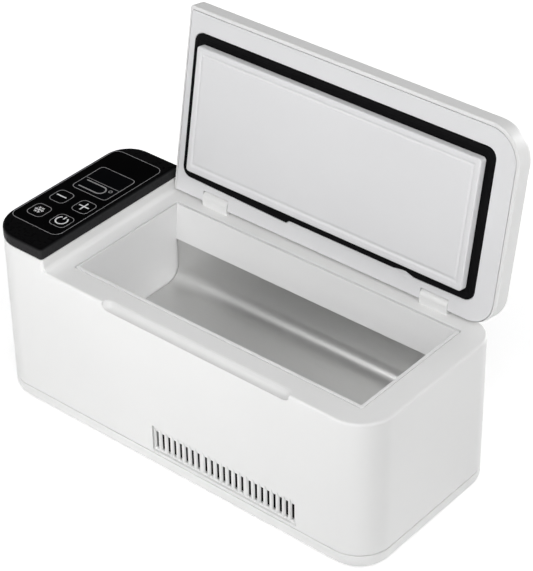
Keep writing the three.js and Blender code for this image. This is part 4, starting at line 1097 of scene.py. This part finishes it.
def buildLidPad(setUp):
    # raised pad with a shallow round groove in its face; its edge overlaps the seal
    faceZ, steps = lidZ - setUp["depth"], setUp["grooveSteps"]
    underZ, neck = lidZ - lidSeal["proud"] - fitGap, setUp["neck"]

    def outline(inset):
        reach = setUp["inset"] + inset
        back = setUp["inset"] + setUp["back"] + setUp["bandBack"] * inset
        return aroundWell(-reach, -reach, -reach, -back, max(setUp["corner"] - inset, setUp["leastCorner"]))

    profile = []
    for i, turn in enumerate(turnSteps(0, 360, steps)):
        along = setUp["band"] + setUp["grooveHalf"] * (1 - 2 * i / steps)
        profile.append((along, faceZ + setUp["grooveDepth"] * (1 - math.cos(turn)) / 2))
    profile += lowEdge(setUp["edgeRound"], faceZ, setUp["edgeSteps"])
    profile += [(0, underZ), (neck, underZ), (neck, lidZ)]
    obj = meshObject("lidPad", levelLoft(outline, profile))
    place(obj, "lid", "lidSatin", ["lid_plug"], lidOpen, setUp["sharp"])


def buildSeal(setUp):
    width, lowZ = setUp["width"], lidZ - setUp["proud"]
    half = [(0, lidZ + setUp["seat"])] + list(reversed(lowEdge(setUp["edgeRound"], lowZ, lipSteps)))
    half += [(setUp["ditchFrom"] * width, lowZ), (setUp["ditchTo"] * width, lowZ + setUp["ditchDepth"])]
    profile = half + [(width - inset, z) for inset, z in reversed(half)]
    obj = meshObject("lidSeal", levelLoft(sealOutline, profile, closed=True))
    place(obj, "lid", "sealRubber", ["lid_seal"], lidOpen)


buildLidShell(lidSet)
buildLidPlate(lidSet)
buildLidPad(lidPad)
buildSeal(lidSeal)
print("lid made")

# underside and back: rubber feet, case screws and the power inlet
rubberFoot = {"edgeRound": 0.7 * mm, "ring": 0.55, "ringSlope": 0.4 * mm, "dip": 0.35 * mm,
              "centre": 0.2 * mm}
caseScrew = {"edgeRound": 0.5 * mm, "headHeight": 2.0 * mm, "shank": 1.5 * mm, "crossWidth": 0.8 * mm,
             "crossReach": 1.6 * mm, "crossDepth": 1.0 * mm, "steps": 32}
powerInlet = {"edgeRound": 0.4 * mm, "barrel": 5 * mm, "flange": 1.2 * mm, "bore": 3.2 * mm,
              "boreFlare": 0.6 * mm, "depth": 10 * mm, "pin": 1.05 * mm, "pinTop": 1.4 * mm,
              "tip": 0.65 * mm, "tipTop": 1 * mm}


def cornerLabel(corner):
    return "".join(word.capitalize() for word in corner.split("_"))


def buildFoot(corner, setUp):
    low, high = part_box("foot_" + corner)
    centre, radius = middle("foot_" + corner), (high.x - low.x) / 2
    ring, dip = setUp["ring"] * radius, setUp["dip"]
    profile = [(setUp["centre"], dip), (ring - setUp["ringSlope"], dip), (ring, 0)]
    profile += [(radius - drawn, z) for drawn, z in lowEdge(setUp["edgeRound"], 0, lipSteps)]
    profile += [(radius, high.z - low.z)]
    obj = meshObject("foot" + cornerLabel(corner), lathe((centre.x, centre.y, low.z), profile))
    place(obj, "case", "sealRubber", ["foot_" + corner])


def buildCaseScrew(corner, setUp):
    low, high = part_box("base_screw_" + corner)
    x, y, _ = middle("base_screw_" + corner)
    radius, head, shank = (high.x - low.x) / 2, setUp["headHeight"], setUp["shank"]
    profile = [(radius - drawn, z) for drawn, z in lowEdge(setUp["edgeRound"], 0, lipSteps)]
    profile += [(radius, head), (shank, head), (shank, high.z - low.z)]
    obj = meshObject("caseScrew" + cornerLabel(corner), lathe((x, y, low.z), profile, steps=setUp["steps"]))
    reach, half, crossZ = setUp["crossReach"], setUp["crossWidth"] / 2, low.z + setUp["crossDepth"]
    for halfX, halfY in ((reach, half), (half, reach)):
        cut(obj, block(x - halfX, x + halfX, y - halfY, y + halfY, low.z - spill, crossZ))
    place(obj, "case", "platedSteel", ["base_screw_" + corner])


def buildInlet(setUp):
    low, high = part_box("dc_socket")
    centre, radius = middle("dc_socket"), (high.x - low.x) / 2
    soft, barrel, flange = setUp["edgeRound"], setUp["barrel"], setUp["flange"]
    bore, flare, depth, pin = setUp["bore"], setUp["boreFlare"], setUp["depth"], setUp["pin"]
    profile = [(barrel, low.y - high.y), (barrel, -flange), (radius, -flange), (radius, -soft),
               (radius - soft, 0), (bore + flare, 0), (bore, -flare), (bore, -depth), (pin, -depth),
               (pin, -setUp["pinTop"]), (setUp["tip"], -setUp["tipTop"])]
    obj = meshObject("powerInlet", lathe((centre.x, high.y, centre.z), profile, "Y"))
    place(obj, "case", "blackMatte", ["dc_socket"])


for cornerName in cornerNames:
    buildFoot(cornerName, rubberFoot)
    buildCaseScrew(cornerName, caseScrew)
buildInlet(powerInlet)
print("feet, screws and inlet made")

# insulation: moulded bead foam that fills the room its solid has, with rubbed edges
insulation = {"edgeRound": 0.12 * mm, "steps": 2, "flat": 2, "sharp": 40, "join": 0.01 * mm,
              "hingeRoom": 3.9 * mm, "roomHalf": 8.3 * mm, "roomSteps": 24}


def hingeRoom(setUp):
    # round room for the two hinge humps
    ring = circlePoints(hingeAxis.y, hingeAxis.z, setUp["hingeRoom"], setUp["roomSteps"])
    half = setUp["roomHalf"]
    bm = bmesh.new()
    for x in hingeXs:
        loft([[(end, y, z) for y, z in ring] for end in (x - half, x + half)], bm)
    return bm


def buildFoam(setUp, name, nodeName, body):
    bm = bmesh.new()
    bm.from_mesh(frame["nodes"][nodeName].data)
    bmesh.ops.remove_doubles(bm, verts=bm.verts, dist=setUp["join"])
    bmesh.ops.dissolve_limit(bm, angle_limit=math.radians(setUp["flat"]), verts=bm.verts, edges=bm.edges)
    obj = meshObject(name, bm)
    soften(obj, setUp["edgeRound"], setUp["steps"], setUp["sharp"])
    if body == "lid":
        cut(obj, hingeRoom(setUp))
    place(obj, body, "foamBeads", [nodeName])


buildFoam(insulation, "caseInsulation", "insulation_foam", "case")
buildFoam(insulation, "lidInsulation", "lid_foam", "lid")
print("insulation made")

# inner pieces keep their solids and take a finish by kind; the rest are matt black
innerFinishes = {"cold_block": "blockMetal", "heat_sink": "blockMetal", "peltier": "ceramicWhite",
                 "control_board": "boardGreen", "_lead": "sealRubber",
                 **dict.fromkeys(("screw", "magnet", "pin_", "nut", "sensor"), "platedSteel")}
for nodeName, node in frame["nodes"].items():
    if node.hide_render:
        continue
    finish = next((kind for word, kind in innerFinishes.items() if word in nodeName), "blackMatte")
    node.data.materials.clear()
    node.data.materials.append(finishes[finish])
print("inner pieces finished")
